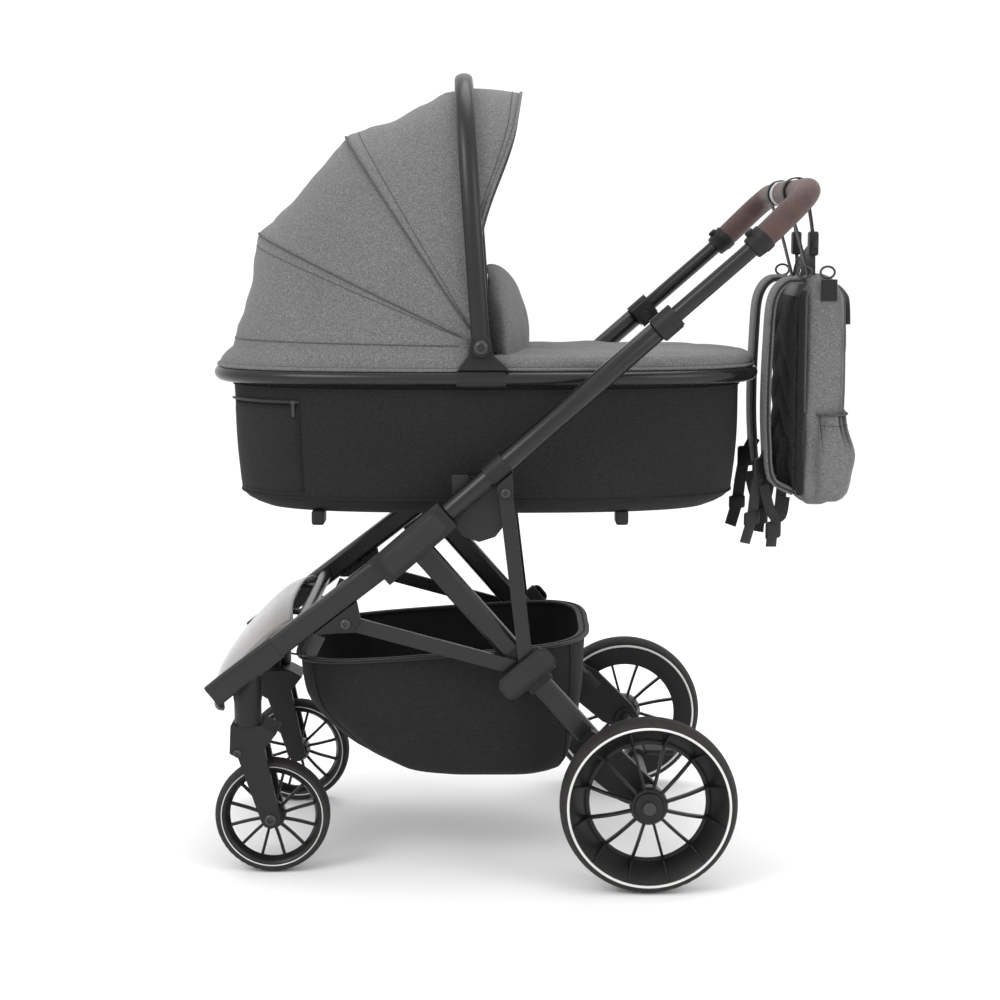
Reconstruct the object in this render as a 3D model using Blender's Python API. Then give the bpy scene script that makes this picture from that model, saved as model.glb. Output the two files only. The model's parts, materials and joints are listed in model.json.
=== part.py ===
"""Baby stroller: folding chassis, carrycot with hood and a changing bag. Metres, +Z up.

The front is at -X, the handle at +X, and the left side at -Y. Left and right are the user's.
"""

import math

import bmesh
import bpy
from mathutils import Vector

SIDES = {"left": -1.0, "right": 1.0}
GAP = 0.0004
CENTRE_X = 0.04244

# Running gear: wheel radii, hub places and widths.
REAR_R = 0.129
REAR_X = 0.214
REAR_Y = 0.290
REAR_TYRE_W = 0.044
FRONT_R = 0.086
FRONT_X = -0.339
FRONT_Y = 0.190
FRONT_TYRE_W = 0.036
SPOKES = 12
AXLE_R = 0.0063
CASTER_X = -0.374
CASTER_TOP = 0.290
CASTER_LOW = 0.2285
HOUSING_R = 0.021
STEM_R = 0.008
FORK_CLEARANCE = 0.0045
FORK_WALL = 0.0105
FORK_EYE_R = 0.014

# Folding frame, as (x, z) of its joints at rest.
FOLD = Vector((-0.126, 0.503))
LINK_PIN = Vector((-0.223, 0.386))
STRUT_PIN = Vector((0.008, 0.577))
SLIDER_PIN = Vector((0.039, 0.315))
HANDLE_TILT = math.radians(41.1)
FRONT_TILT = math.radians(217.5)
FRONT_LEG = 0.272
FOOTBOARD_HALF = 0.165
FOOTBOARD_WALL = 0.009
REAR_LEG_END = Vector((0.137, 0.203))
LEG_DEPTH = 0.034
PIN_R = 0.0042
LOOSE_PIN_R = 0.0031
PIN_CLEARANCE = 0.0004
BOLT_R = 0.0065
BOLT_CLEARANCE = 0.0003

# Layers of the frame, as distances from the middle plane.
REAR_LEG_Y = (0.2115, 0.2295)
LINK_Y = (0.2335, 0.2412)
STRUT_Y = (0.2418, 0.2495)
FRONT_LEG_Y = (0.2360, 0.2540)
COVER_Y = (0.2545, 0.2680)
SLIDER_Y = (0.2502, 0.2640)
SLEEVE_Y = (0.2085, 0.2330)
LUG_Y = 0.2530
STRUT_LUG_Y = 0.2580
ADAPTER_Y = (0.2125, 0.2295)
CASTING_Y = (0.2305, 0.2480)
HANDLE_Y = 0.245

# Handle: outer tubes, the bar that slides in them, and its grip.
OUTER_R = 0.015
OUTER_BORE = 0.0124
BAR_R = 0.0118
OUTER_FROM = 0.068
OUTER_TO = 0.493
BAR_FROM = 0.300
BEND_FROM = 0.640
BAR_TOP = Vector((0.4400, 1.0060))
BAR_CORNER = 0.050
GRIP_R = 0.018

# Carrycot. TONGUE is the lug on each side that drops into the frame's adapter.
COT_X = -0.021
RIM_HALF = (0.402, 0.203)
RIM_Z = 0.7365
RIM_SIZE = (0.012, 0.0105)
SHELL_TOP = 0.7255
SHELL_LOW = 0.5350
SHELL_HALF = (0.386, 0.197)
SHELL_WALL = 0.008
SHELL_TAPER = 0.014
COT_POWER = 2.8
FOOT_X = (-0.270, 0.181)
FOOT_HALF = (0.0095, 0.150)
FOOT_LOW = 0.516
TONGUE_X = (-0.056, -0.006)
TONGUE_Y = (0.1800, 0.2118)
TONGUE_Z = (0.563, 0.597)

# Hood: shells turned about the hood pivot. Angles are from +X towards +Z.
HOOD = Vector((-0.027, 0.783))
HOOD_HALF = 0.206
HOOD_REAR = (122.0, 184.0, 0.369)
HOOD_MID = (92.5, 124.0, 0.3735)
HOOD_FRONT = (80.0, 95.0, 0.378)
HOOD_CLOTH = 0.003
BOW_ANGLE = 94.0
BOW_R = 0.3925
BOW_HALF = 0.2225

# Apron over the foot end, and the wind flap that stands up from it.
APRON_Z = (0.7495, 0.7695)
FLAP_HALF = 0.170
FLAP = ((-0.018, 0.7655), (0.048, 0.7655), (0.036, 0.826), (0.008, 0.868), (-0.018, 0.890), (-0.022, 0.882))

# Basket rings from the hem down: height, front and rear ends, half width. The hem rises to the rear.
BASKET = (
    (0.314, -0.306, 0.130, 0.196),
    (0.246, -0.292, 0.128, 0.192),
    (0.186, -0.240, 0.118, 0.182),
    (0.148, -0.172, 0.104, 0.168),
    (0.132, -0.120, 0.082, 0.142),
)
BASKET_WALL = 0.006
HEM_SLOPE = 0.075

# Changing bag, hung on the handlebar.
BAG_X = (0.440, 0.516)
BAG_Z = (0.538, 0.886)
BAG_HALF = 0.140
POCKET_TOP = 0.678
POCKET_DEEPER = 0.015
POCKET_WIDER = 0.010
HANGER_Y = 0.085
HANGER_X = 0.466
STRAP_Y = 0.085
STRAP_LINE = (
    (0.4365, 0.864),
    (0.4160, 0.850),
    (0.4020, 0.800),
    (0.3990, 0.700),
    (0.4020, 0.620),
    (0.4140, 0.570),
    (0.4365, 0.556),
)

COLOURS = {
    "frame": ((0.020, 0.020, 0.022), 0.35, 0.6),
    "plastic": ((0.035, 0.035, 0.038), 0.55, 0.0),
    "rubber": ((0.022, 0.020, 0.019), 0.80, 0.0),
    "leather": ((0.085, 0.045, 0.040), 0.50, 0.0),
    "black_cloth": ((0.020, 0.020, 0.021), 0.90, 0.0),
    "grey_cloth": ((0.130, 0.130, 0.135), 0.90, 0.0),
    "trim": ((0.500, 0.480, 0.480), 0.25, 0.0),
}


def clear_scene():
    for obj in list(bpy.data.objects):
        bpy.data.objects.remove(obj)


def material(name):
    found = bpy.data.materials.get(name)
    if found:
        return found
    colour, roughness, metallic = COLOURS[name]
    made = bpy.data.materials.new(name)
    made.use_nodes = True
    shader = made.node_tree.nodes["Principled BSDF"]
    shader.inputs["Base Color"].default_value = (*colour, 1.0)
    shader.inputs["Roughness"].default_value = roughness
    shader.inputs["Metallic"].default_value = metallic
    return made


def add_object(name, bm, finish, origin=(0, 0, 0)):
    """Makes the object of a closed mesh, with its origin at a point, such as one on its joint's axis."""
    bmesh.ops.recalc_face_normals(bm, faces=bm.faces)
    mesh = bpy.data.meshes.new(name)
    bmesh.ops.translate(bm, verts=bm.verts, vec=-Vector(origin))
    bm.to_mesh(mesh)
    bm.free()
    mesh.shade_smooth()
    mesh.set_sharp_from_angle(angle=math.radians(35))
    obj = bpy.data.objects.new(name, mesh)
    obj.location = origin
    obj.data.materials.append(material(finish))
    bpy.context.scene.collection.objects.link(obj)
    return obj


def combine(obj, bm, operation):
    """Adds a closed mesh to the object, or cuts it out, with a Boolean modifier and a hidden helper."""
    helper = add_object(f"{obj.name}_{operation.lower()}{len(obj.modifiers)}", bm, "plastic")
    helper.hide_render = True
    helper.display_type = "WIRE"
    modifier = obj.modifiers.new(helper.name, "BOOLEAN")
    modifier.object = helper
    modifier.operation = operation


def circle(radius, count, squash=1.0):
    turn = 2 * math.pi / count
    return [(radius * math.cos(i * turn), squash * radius * math.sin(i * turn)) for i in range(count)]


def loft(rings, closed=False):
    """Skins rings of the same number of points. Open lofts get end caps."""
    bm = bmesh.new()
    loops = [[bm.verts.new(point) for point in ring] for ring in rings]
    pairs = list(zip(loops, loops[1:]))
    if closed:
        pairs.append((loops[-1], loops[0]))
    count = len(rings[0])
    for low, high in pairs:
        for i in range(count):
            j = (i + 1) % count
            bm.faces.new((low[i], low[j], high[j], high[i]))
    if not closed:
        bm.faces.new(loops[0])
        bm.faces.new(loops[-1])
    return bm


def sweep(path, section, across=(0, 1, 0), closed=False):
    """Sweeps a section of (a, b) points, a along the vector across, where it is square to the path."""
    path = [Vector(point) for point in path]
    last = len(path) - 1
    rings = []
    for i, point in enumerate(path):
        before = path[i - 1] if i or closed else point
        after = path[(i + 1) % len(path)] if i < last or closed else point
        along = (after - before).normalized()
        side = Vector(across)
        side = (side - side.dot(along) * along).normalized()
        up = side.cross(along)
        rings.append([point + a * side + b * up for a, b in section])
    return loft(rings, closed)


def tube(start, end, radius, count=12):
    start, end = Vector(start), Vector(end)
    across = (1, 0, 0) if abs((end - start).normalized().y) > 0.5 else (0, 1, 0)
    return sweep([start, end], circle(radius, count), across)


def turned(profile, centre, axis, count):
    """Turns a closed profile of (distance along the axis, radius) points about the axis."""
    axis = Vector(axis).normalized()
    side = axis.orthogonal().normalized()
    if abs(axis.y) > 0.99:
        side = Vector((1, 0, 0))
    up = axis.cross(side)
    rings = []
    for i in range(count):
        angle = 2 * math.pi * i / count
        out = math.cos(angle) * side + math.sin(angle) * up
        rings.append([Vector(centre) + along * axis + radius * out for along, radius in profile])
    return loft(rings, closed=True)


def plate(outline, y_low, y_high):
    """A flat plate: an outline of (x, z) points, between two distances along Y."""
    return loft([[(x, y, z) for x, z in outline] for y in (y_low, y_high)])


def stadium(start, end, radius, steps=6):
    """The outline of a bar with round ends, as (x, z) points."""
    start, end = Vector(start), Vector(end)
    along = math.atan2(end.y - start.y, end.x - start.x)
    points = []
    for centre, first in ((end, -90), (start, 90)):
        for i in range(steps + 1):
            angle = along + math.radians(first + 180 * i / steps)
            points.append((centre.x + radius * math.cos(angle), centre.y + radius * math.sin(angle)))
    return points


def round_box(low, high, radius, steps=2):
    """A box with its edges rounded."""
    bm = bmesh.new()
    bmesh.ops.create_cube(bm, size=1)
    size = Vector(high) - Vector(low)
    bmesh.ops.scale(bm, verts=bm.verts, vec=size)
    bmesh.ops.translate(bm, verts=bm.verts, vec=(Vector(high) + Vector(low)) / 2)
    bmesh.ops.bevel(bm, geom=bm.edges, offset=radius, segments=steps, affect="EDGES", profile=0.5)
    return bm


def on_line(start, angle, distance, drop=0.0):
    """The (x, z) point at a distance along a line from start, moved square to it by drop."""
    along = Vector((math.cos(angle), math.sin(angle)))
    return start + distance * along + drop * Vector((along.y, -along.x))


def rounded_bar(start, end, depth, y_low, y_high, corner=0.006):
    """A flat-oval leg from start to end, which runs in the XZ plane."""
    middle = (y_low + y_high) / 2
    half = abs(y_high - y_low) / 2
    section = []
    for sa, sb, first in ((1, 1, 0), (-1, 1, 90), (-1, -1, 180), (1, -1, 270)):
        for i in range(3):
            angle = math.radians(first + 45 * i)
            a = sa * (half - corner) + corner * math.cos(angle)
            b = sb * (depth / 2 - corner) + corner * math.sin(angle)
            section.append((a, b))
    path = [(point.x, middle, point.y) for point in (start, end)]
    return sweep(path, section)


def pin(centre, y_low, y_high, radius, count=12):
    return tube((centre.x, y_low, centre.y), (centre.x, y_high, centre.y), radius, count)


def layer(side, span):
    return side * span[0], side * span[1]


def oval(half_x, half_y, z, count=32, shift=0.0):
    """A superellipse about the carrycot's middle."""
    points = []
    for i in range(count):
        angle = 2 * math.pi * i / count
        c, s = math.cos(angle), math.sin(angle)
        x = half_x * math.copysign(abs(c) ** (2 / COT_POWER), c)
        y = half_y * math.copysign(abs(s) ** (2 / COT_POWER), s)
        points.append(Vector((COT_X + shift + x, y, z)))
    return points


# ---- Wheels ---------------------------------------------------------------------------------------


def tyre(name, centre, radius, width):
    inner = 0.895 * radius
    section = []
    for i in range(6):
        angle = math.pi * i / 5
        swell = (radius - inner) * math.sin(angle) ** 0.7
        section.append((-width / 2 * math.cos(angle), inner + swell))
    bm = turned(section, centre, (0, 1, 0), 32)
    return add_object(name, bm, "rubber", centre)


def rim(name, centre, radius, width, side):
    """A rim with a dished inner band, flat blade spokes and a bored hub."""
    outer = 0.895 * radius - GAP
    inner = 0.80 * radius
    half = width / 2
    band = [(-half * 0.8, outer), (half * 0.8, outer), (half * 0.8, inner), (-half * 0.8, inner)]
    wheel = add_object(name, turned(band, centre, (0, 1, 0), 32), "plastic", centre)
    hub_r = 0.185 * radius
    hub = [(-half, AXLE_R + 0.0003), (half, AXLE_R + 0.0003), (half, hub_r), (-half, hub_r)]
    combine(wheel, turned(hub, centre, (0, 1, 0), 12), "UNION")
    for i in range(SPOKES):
        angle = math.radians(15 + 360 / SPOKES * i)
        out = Vector((math.cos(angle), 0, math.sin(angle)))
        start = Vector(centre) + 0.75 * hub_r * out + Vector((0, side * half * 0.25, 0))
        end = Vector(centre) + 0.5 * (outer + inner) * out + Vector((0, side * half * 0.05, 0))
        blade = [(-0.0075, -0.0016), (0.0075, -0.0016), (0.0075, 0.0016), (-0.0075, 0.0016)]
        combine(wheel, sweep([start, end], blade), "UNION")
    return wheel


def wheels():
    for name, side in SIDES.items():
        rear = (REAR_X, side * REAR_Y, REAR_R)
        front = (FRONT_X, side * FRONT_Y, FRONT_R)
        tyre(f"rear_tyre_{name}", rear, REAR_R, REAR_TYRE_W)
        rim(f"rear_rim_{name}", rear, REAR_R, REAR_TYRE_W, side)
        tyre(f"front_tyre_{name}", front, FRONT_R, FRONT_TYRE_W)
        rim(f"front_rim_{name}", front, FRONT_R, FRONT_TYRE_W, side)


def caster_fork(name, side):
    """A swivelling fork: a crown under the housing, two legs beside the wheel, and its axle."""
    middle = side * FRONT_Y
    inner = FRONT_TYRE_W / 2 + FORK_CLEARANCE
    outer = inner + FORK_WALL
    crown = [
        (CASTER_X - 0.022, CASTER_LOW - GAP),
        (CASTER_X + 0.024, CASTER_LOW - GAP),
        (CASTER_X + 0.046, CASTER_LOW - 0.012),
        (CASTER_X + 0.030, 0.196),
        (CASTER_X - 0.006, 0.176),
        (CASTER_X - 0.024, 0.186),
    ]
    swivel = (CASTER_X, middle, CASTER_LOW)
    fork = add_object(f"fork_{name}", plate(crown, middle - outer, middle + outer), "plastic", swivel)
    leg = [(CASTER_X - 0.018, 0.198), (CASTER_X + 0.026, 0.200)]
    for degrees in (20, -15, -50, -90, -130, -170):
        angle = math.radians(degrees)
        leg.append((FRONT_X + FORK_EYE_R * math.cos(angle), FRONT_R + FORK_EYE_R * math.sin(angle)))
    for way in (-1, 1):
        combine(fork, plate(leg, middle + way * inner, middle + way * outer), "UNION")
    hub = Vector((FRONT_X, FRONT_R))
    combine(fork, pin(hub, middle - inner - 0.003, middle + inner + 0.003, AXLE_R, 12), "UNION")
    low = (CASTER_X, middle, CASTER_LOW - 0.010)
    combine(fork, tube(low, (CASTER_X, middle, CASTER_TOP - 0.020), STEM_R), "UNION")
    return fork


def caster_housing(name, side):
    """The vertical socket that the caster's stem turns in, with a block to the front leg."""
    middle = side * FRONT_Y
    base = (CASTER_X, middle, CASTER_LOW)
    socket = tube(base, (CASTER_X, middle, CASTER_TOP), HOUSING_R, 20)
    housing = add_object(f"caster_housing_{name}", socket, "plastic", base)
    end = on_line(FOLD, FRONT_TILT, FRONT_LEG + GAP)
    block = [
        (CASTER_X - 0.019, CASTER_TOP - 0.020),
        (CASTER_X + 0.019, CASTER_TOP - 0.020),
        tuple(on_line(FOLD, FRONT_TILT, FRONT_LEG + GAP, -0.019)),
        tuple(on_line(FOLD, FRONT_TILT, FRONT_LEG + GAP, 0.019)),
        (CASTER_X - 0.016, end.y - 0.004),
    ]
    combine(housing, plate(block, side * (FRONT_Y - 0.012), side * FRONT_LEG_Y[1]), "UNION")
    low = (CASTER_X, middle, CASTER_LOW - 0.010)
    bore = tube(low, (CASTER_X, middle, CASTER_TOP - 0.018), STEM_R + 0.0005)
    combine(housing, bore, "DIFFERENCE")
    return housing


# ---- Folding frame --------------------------------------------------------------------------------


def front_leg(name, side):
    end = on_line(FOLD, FRONT_TILT, FRONT_LEG)
    low, high = layer(side, FRONT_LEG_Y)
    leg = add_object(f"front_leg_{name}", rounded_bar(FOLD, end, LEG_DEPTH, low, high), "frame")
    combine(leg, pin(FOLD, low, high, LEG_DEPTH / 2, 20), "UNION")
    combine(leg, pin(FOLD, 0.9 * low, 1.1 * high, BOLT_R + BOLT_CLEARANCE, 16), "DIFFERENCE")
    return leg


def rear_leg(name, side):
    low, high = layer(side, REAR_LEG_Y)
    origin = (FOLD.x, 0, FOLD.y)
    bar = rounded_bar(FOLD, REAR_LEG_END, LEG_DEPTH, low, high)
    leg = add_object(f"rear_leg_{name}", bar, "frame", origin)
    combine(leg, pin(FOLD, low, high, LEG_DEPTH / 2, 20), "UNION")
    combine(leg, pin(FOLD, 0.9 * low, 1.1 * high, BOLT_R + BOLT_CLEARANCE, 16), "DIFFERENCE")
    return leg


def link_bracket(name, side):
    """The lug under the front leg, with the pin that the side link turns on."""
    edge = LEG_DEPTH / 2 + GAP
    outline = [
        tuple(on_line(FOLD, FRONT_TILT, 0.195, -edge)),
        tuple(on_line(FOLD, FRONT_TILT, 0.115, -edge)),
        (LINK_PIN.x + 0.022, LINK_PIN.y + 0.004),
        (LINK_PIN.x + 0.013, LINK_PIN.y - 0.013),
        (LINK_PIN.x - 0.013, LINK_PIN.y - 0.014),
        (LINK_PIN.x - 0.040, LINK_PIN.y - 0.016),
    ]
    lug_plate = plate(outline, side * (LINK_Y[1] + GAP), side * LUG_Y)
    lug = add_object(f"link_bracket_{name}", lug_plate, "plastic")
    combine(lug, pin(LINK_PIN, side * (LINK_Y[0] - 0.002), side * 0.246, PIN_R), "UNION")
    return lug


def bored_bar(name, start, end, radius, span, side, finish="frame"):
    """A flat link with a hole at each end."""
    low, high = layer(side, span)
    origin = (start.x, 0, start.y)
    bar = add_object(name, plate(stadium(start, end, radius), low, high), finish, origin)
    for centre in (start, end):
        hole = pin(centre, side * (span[0] - 0.01), side * (span[1] + 0.01), PIN_R + PIN_CLEARANCE)
        combine(bar, hole, "DIFFERENCE")
    return bar


def lower_hinge_cover(name, side):
    """A sleeve that slides on the rear leg, with the pin of both links and an outer cover."""
    tilt = math.atan2(REAR_LEG_END.y - FOLD.y, REAR_LEG_END.x - FOLD.x)
    reach = 0.034
    cover_tilt = math.radians(40)
    ends = [on_line(SLIDER_PIN, cover_tilt, way * 0.038) for way in (-1, 1)]
    low, high = layer(side, SLIDER_Y)
    origin = (SLIDER_PIN.x, 0, SLIDER_PIN.y)
    bar = rounded_bar(ends[0], ends[1], 0.038, low, high, 0.004)
    cover = add_object(f"lower_hinge_cover_{name}", bar, "plastic", origin)
    combine(cover, pin(SLIDER_PIN, side * 0.2310, side * 0.2520, LOOSE_PIN_R), "UNION")
    ends = [on_line(SLIDER_PIN, tilt, way * reach) for way in (-1, 1)]
    depth = LEG_DEPTH + 0.0070
    low, high = layer(side, SLEEVE_Y)
    combine(cover, rounded_bar(ends[0], ends[1], depth, low, high, 0.004), "UNION")
    ends = [on_line(SLIDER_PIN, tilt, way * (reach + 0.01)) for way in (-1, 1)]
    low, high = layer(side, (REAR_LEG_Y[0] - GAP, REAR_LEG_Y[1] + GAP))
    combine(cover, rounded_bar(ends[0], ends[1], LEG_DEPTH + 2 * GAP, low, high, 0.004), "DIFFERENCE")
    return cover


def upper_hinge_cover(name, side):
    """The hinge casting at the foot of the handle tube: a block, and a cover over the leg's end."""
    origin = (FOLD.x, 0, FOLD.y)
    low, high = layer(side, COVER_Y)
    ends = [on_line(FOLD, HANDLE_TILT, way) for way in (-0.062, 0.067)]
    bar = rounded_bar(ends[0], ends[1], 0.046, low, high, 0.004)
    hinge = add_object(f"upper_hinge_cover_{name}", bar, "plastic", origin)
    ends = [on_line(FOLD, HANDLE_TILT, way) for way in (0.021, 0.067)]
    combine(hinge, rounded_bar(ends[0], ends[1], 0.042, side * 0.2312, side * 0.2600, 0.004), "UNION")
    combine(hinge, pin(FOLD, side * 0.2111, side * 0.2600, BOLT_R, 16), "UNION")
    combine(hinge, pin(FOLD, side * 0.2030, side * 0.2112, 0.011, 16), "UNION")
    return hinge


def outer_tube(name, side):
    start = on_line(FOLD, HANDLE_TILT, OUTER_FROM)
    along = (math.cos(HANDLE_TILT), 0, math.sin(HANDLE_TILT))
    length = OUTER_TO - OUTER_FROM
    wall = [(0, OUTER_BORE), (0, OUTER_R), (length, OUTER_R), (length, OUTER_BORE)]
    centre = (start.x, side * HANDLE_Y, start.y)
    return add_object(f"handle_tube_{name}", turned(wall, centre, along, 20), "frame", centre)


def height_clip(name, side):
    """The collar at the top of the outer tube, with the catch that sets the handle's height."""
    start = on_line(FOLD, HANDLE_TILT, OUTER_TO - 0.030)
    along = (math.cos(HANDLE_TILT), 0, math.sin(HANDLE_TILT))
    wall = [(0, OUTER_R + 0.0003), (0, 0.0185), (0.036, 0.0185), (0.036, OUTER_R + 0.0003)]
    centre = (start.x, side * HANDLE_Y, start.y)
    clip = add_object(f"height_clip_{name}", turned(wall, centre, along, 20), "plastic", centre)
    ends = [on_line(start, HANDLE_TILT, way, 0.005) for way in (0.002, 0.034)]
    low, high = layer(side, (HANDLE_Y - 0.0245, HANDLE_Y - 0.0160))
    combine(clip, rounded_bar(ends[0], ends[1], 0.034, low, high, 0.003), "UNION")
    return clip


def strut_bracket(name, side):
    """A clamp on the handle tube, with the lug and pin that the strut hangs on."""
    centre = on_line(FOLD, HANDLE_TILT, 0.145)
    along = (math.cos(HANDLE_TILT), 0, math.sin(HANDLE_TILT))
    wall = [(0, OUTER_R + 0.0003), (0, 0.0180), (0.034, 0.0180), (0.034, OUTER_R + 0.0003)]
    place = (centre.x, side * HANDLE_Y, centre.y)
    clamp = add_object(f"strut_bracket_{name}", turned(wall, place, along, 20), "plastic", place)
    outline = [
        tuple(on_line(FOLD, HANDLE_TILT, 0.147, 0.0162)),
        tuple(on_line(FOLD, HANDLE_TILT, 0.177, 0.0162)),
        (STRUT_PIN.x + 0.012, STRUT_PIN.y + 0.002),
        (STRUT_PIN.x + 0.008, STRUT_PIN.y - 0.009),
        (STRUT_PIN.x - 0.008, STRUT_PIN.y - 0.009),
        (STRUT_PIN.x - 0.012, STRUT_PIN.y + 0.002),
    ]
    combine(clamp, plate(outline, side * (STRUT_Y[1] + GAP), side * STRUT_LUG_Y), "UNION")
    combine(clamp, pin(STRUT_PIN, side * (STRUT_Y[0] - 0.002), side * 0.2520, PIN_R), "UNION")
    return clamp


def cot_adapter(name, side):
    """The socket inside the handle tube that the carrycot stands in."""
    centre = Vector((-0.030, 0.548))
    outline = [(centre.x - 0.040, centre.y + 0.052), (centre.x - 0.036, centre.y - 0.010)]
    for degrees in (200, 230, 270, 310, 340):
        angle = math.radians(degrees)
        outline.append((centre.x + 0.036 * math.cos(angle), centre.y - 0.014 + 0.032 * math.sin(angle)))
    outline += [
        (centre.x + 0.036, centre.y + 0.040),
        (centre.x + 0.020, centre.y + 0.040),
        (centre.x - 0.012, centre.y + 0.036),
        (centre.x - 0.016, centre.y + 0.052),
    ]
    return add_object(f"cot_adapter_{name}", plate(outline, *layer(side, ADAPTER_Y)), "plastic")


def footboard():
    """The curved footboard between the front legs, on the tube that joins them."""
    stations = (
        (0.185, -0.002, 0.80),
        (0.215, -0.007, 0.97),
        (0.260, -0.012, 1.00),
        (0.350, -0.008, 1.00),
        (0.392, 0.006, 0.86),
    )
    rings = []
    for s, drop, width in stations:
        ring = []
        for depth, ways in ((0.0, (-1, -0.5, 0.5, 1)), (FOOTBOARD_WALL, (1, 0.5, -0.5, -1))):
            for way in ways:
                crown = 0.008 * (1 - way * way)
                point = on_line(FOLD, FRONT_TILT, s, drop - crown + depth)
                ring.append(Vector((point.x, way * width * FOOTBOARD_HALF, point.y)))
        rings.append(ring)
    board = add_object("footboard", loft(rings), "trim")
    centre = on_line(FOLD, FRONT_TILT, 0.212)
    end = FRONT_LEG_Y[0] - GAP
    combine(board, tube((centre.x, -end, centre.y), (centre.x, end, centre.y), 0.010), "UNION")
    return board


def rear_casting(name, side):
    """The casting from the rear leg's foot to the axle."""
    outline = [
        (REAR_LEG_END.x - 0.004, REAR_LEG_END.y + 0.024),
        (REAR_LEG_END.x + 0.030, REAR_LEG_END.y + 0.004),
        (REAR_X + 0.010, REAR_R + 0.022),
        (REAR_X + 0.021, REAR_R + 0.004),
        (REAR_X + 0.016, REAR_R - 0.015),
        (REAR_X - 0.006, REAR_R - 0.020),
        (REAR_X - 0.040, REAR_R - 0.006),
        (REAR_LEG_END.x - 0.030, REAR_LEG_END.y - 0.024),
        (REAR_LEG_END.x - 0.028, REAR_LEG_END.y - 0.004),
    ]
    low, high = layer(side, CASTING_Y)
    casting = add_object(f"rear_casting_{name}", plate(outline, low, high), "plastic")
    foot = [on_line(REAR_LEG_END, math.radians(-47.7), way) for way in (GAP, 0.030)]
    combine(casting, rounded_bar(foot[0], foot[1], LEG_DEPTH, side * 0.2115, side * 0.2400), "UNION")
    hub = Vector((REAR_X, REAR_R))
    combine(casting, pin(hub, side * 0.2250, side * 0.2600, 0.019, 18), "UNION")
    combine(casting, pin(hub, side * 0.20, side * 0.28, 0.0105, 18), "DIFFERENCE")
    return casting


def rear_axle():
    """One axle: thick between the castings, thin through the wheels, with a head at each end."""
    profile = []
    end = REAR_Y + REAR_TYRE_W / 2 + 0.004
    for y, r in ((-end, 0.0), (-end, 0.0095), (-end + 0.0035, 0.0095), (-end + 0.0035, AXLE_R)):
        profile.append((y, r))
    profile += [(-0.2625, AXLE_R), (-0.2625, 0.010)]
    profile += [(-y, r) for y, r in reversed(profile)]
    rings = [[(REAR_X + a, y, REAR_R + b) for a, b in circle(max(r, 0.0005), 16)] for y, r in profile]
    return add_object("rear_axle", loft(rings), "frame", (REAR_X, 0, REAR_R))


def brake_pedal():
    """A pedal that hangs on the axle's middle and presses down to lock both wheels."""
    origin = (REAR_X, 0, REAR_R)
    ring = [(-0.035, 0.0105), (-0.035, 0.0160), (0.035, 0.0160), (0.035, 0.0105)]
    pedal = add_object("brake_pedal", turned(ring, origin, (0, 1, 0), 18), "plastic", origin)
    low = (REAR_X + 0.012, -0.032, REAR_R + 0.004)
    high = (REAR_X + 0.062, 0.032, REAR_R + 0.012)
    combine(pedal, round_box(low, high, 0.003, 1), "UNION")
    return pedal


# ---- Handle ---------------------------------------------------------------------------------------


def handle_path():
    """Half of the handlebar's centre line, from inside the left outer tube to the middle of the bar."""
    foot = on_line(FOLD, HANDLE_TILT, BAR_FROM)
    knee = on_line(FOLD, HANDLE_TILT, BEND_FROM)
    rise = (BAR_TOP - knee).normalized()
    points = [Vector((foot.x, -HANDLE_Y, foot.y)), Vector((knee.x, -HANDLE_Y, knee.y))]
    start = BAR_TOP - BAR_CORNER * rise
    for i in range(6):
        angle = math.radians(90 * i / 5)
        along = start + BAR_CORNER * math.sin(angle) * rise
        y = -HANDLE_Y + BAR_CORNER * (1 - math.cos(angle))
        points.append(Vector((along.x, y, along.y)))
    return points


def mirrored(points):
    return points + [Vector((p.x, -p.y, p.z)) for p in reversed(points)]


def carried(path, radius, count):
    """A tube along a path that turns out of any one plane, its section carried along without twist."""
    side = Vector((0, 1, 0))
    rings = []
    for i, point in enumerate(path):
        before = path[max(i - 1, 0)]
        after = path[min(i + 1, len(path) - 1)]
        along = (after - before).normalized()
        side = (side - side.dot(along) * along).normalized()
        up = side.cross(along)
        rings.append([point + a * side + b * up for a, b in circle(radius, count)])
    return loft(rings)


def handlebar():
    return add_object("handlebar", carried(mirrored(handle_path()), BAR_R, 12), "frame")


def grip():
    """The leather grip, a sleeve round the bar from one knee to the other."""
    path = handle_path()[1:]
    rise = (path[1] - path[0]).normalized()
    path[0] = path[0] + 0.022 * rise
    whole = mirrored(path)
    grip_obj = add_object("grip", carried(whole, GRIP_R, 14), "leather")
    longer = handle_path()
    combine(grip_obj, carried(mirrored(longer), BAR_R + 0.0003, 12), "DIFFERENCE")
    return grip_obj


# ---- Carrycot -------------------------------------------------------------------------------------


def cot_rim():
    """The tube round the cot's top, an oval in section."""
    path = oval(RIM_HALF[0], RIM_HALF[1], RIM_Z, 40)
    section = [(RIM_SIZE[1] * a, RIM_SIZE[0] * b) for a, b in circle(1.0, 8)]
    return add_object("cot_rim", sweep(path, section, across=(0, 0, 1), closed=True), "frame")


def open_tub(name, outer, inner, finish):
    """A tub: outer rings from the top down, then inner rings from the floor up, joined at the rim."""
    rings = outer + inner
    bm = bmesh.new()
    loops = [[bm.verts.new(point) for point in ring] for ring in rings]
    count = len(rings[0])
    floor_at = len(outer) - 1
    for k, (low, high) in enumerate(zip(loops, loops[1:] + loops[:1])):
        if k == floor_at:
            continue
        for i in range(count):
            j = (i + 1) % count
            bm.faces.new((low[i], low[j], high[j], high[i]))
    bm.faces.new(loops[floor_at])
    bm.faces.new(loops[floor_at + 1])
    return add_object(name, bm, finish)


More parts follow.
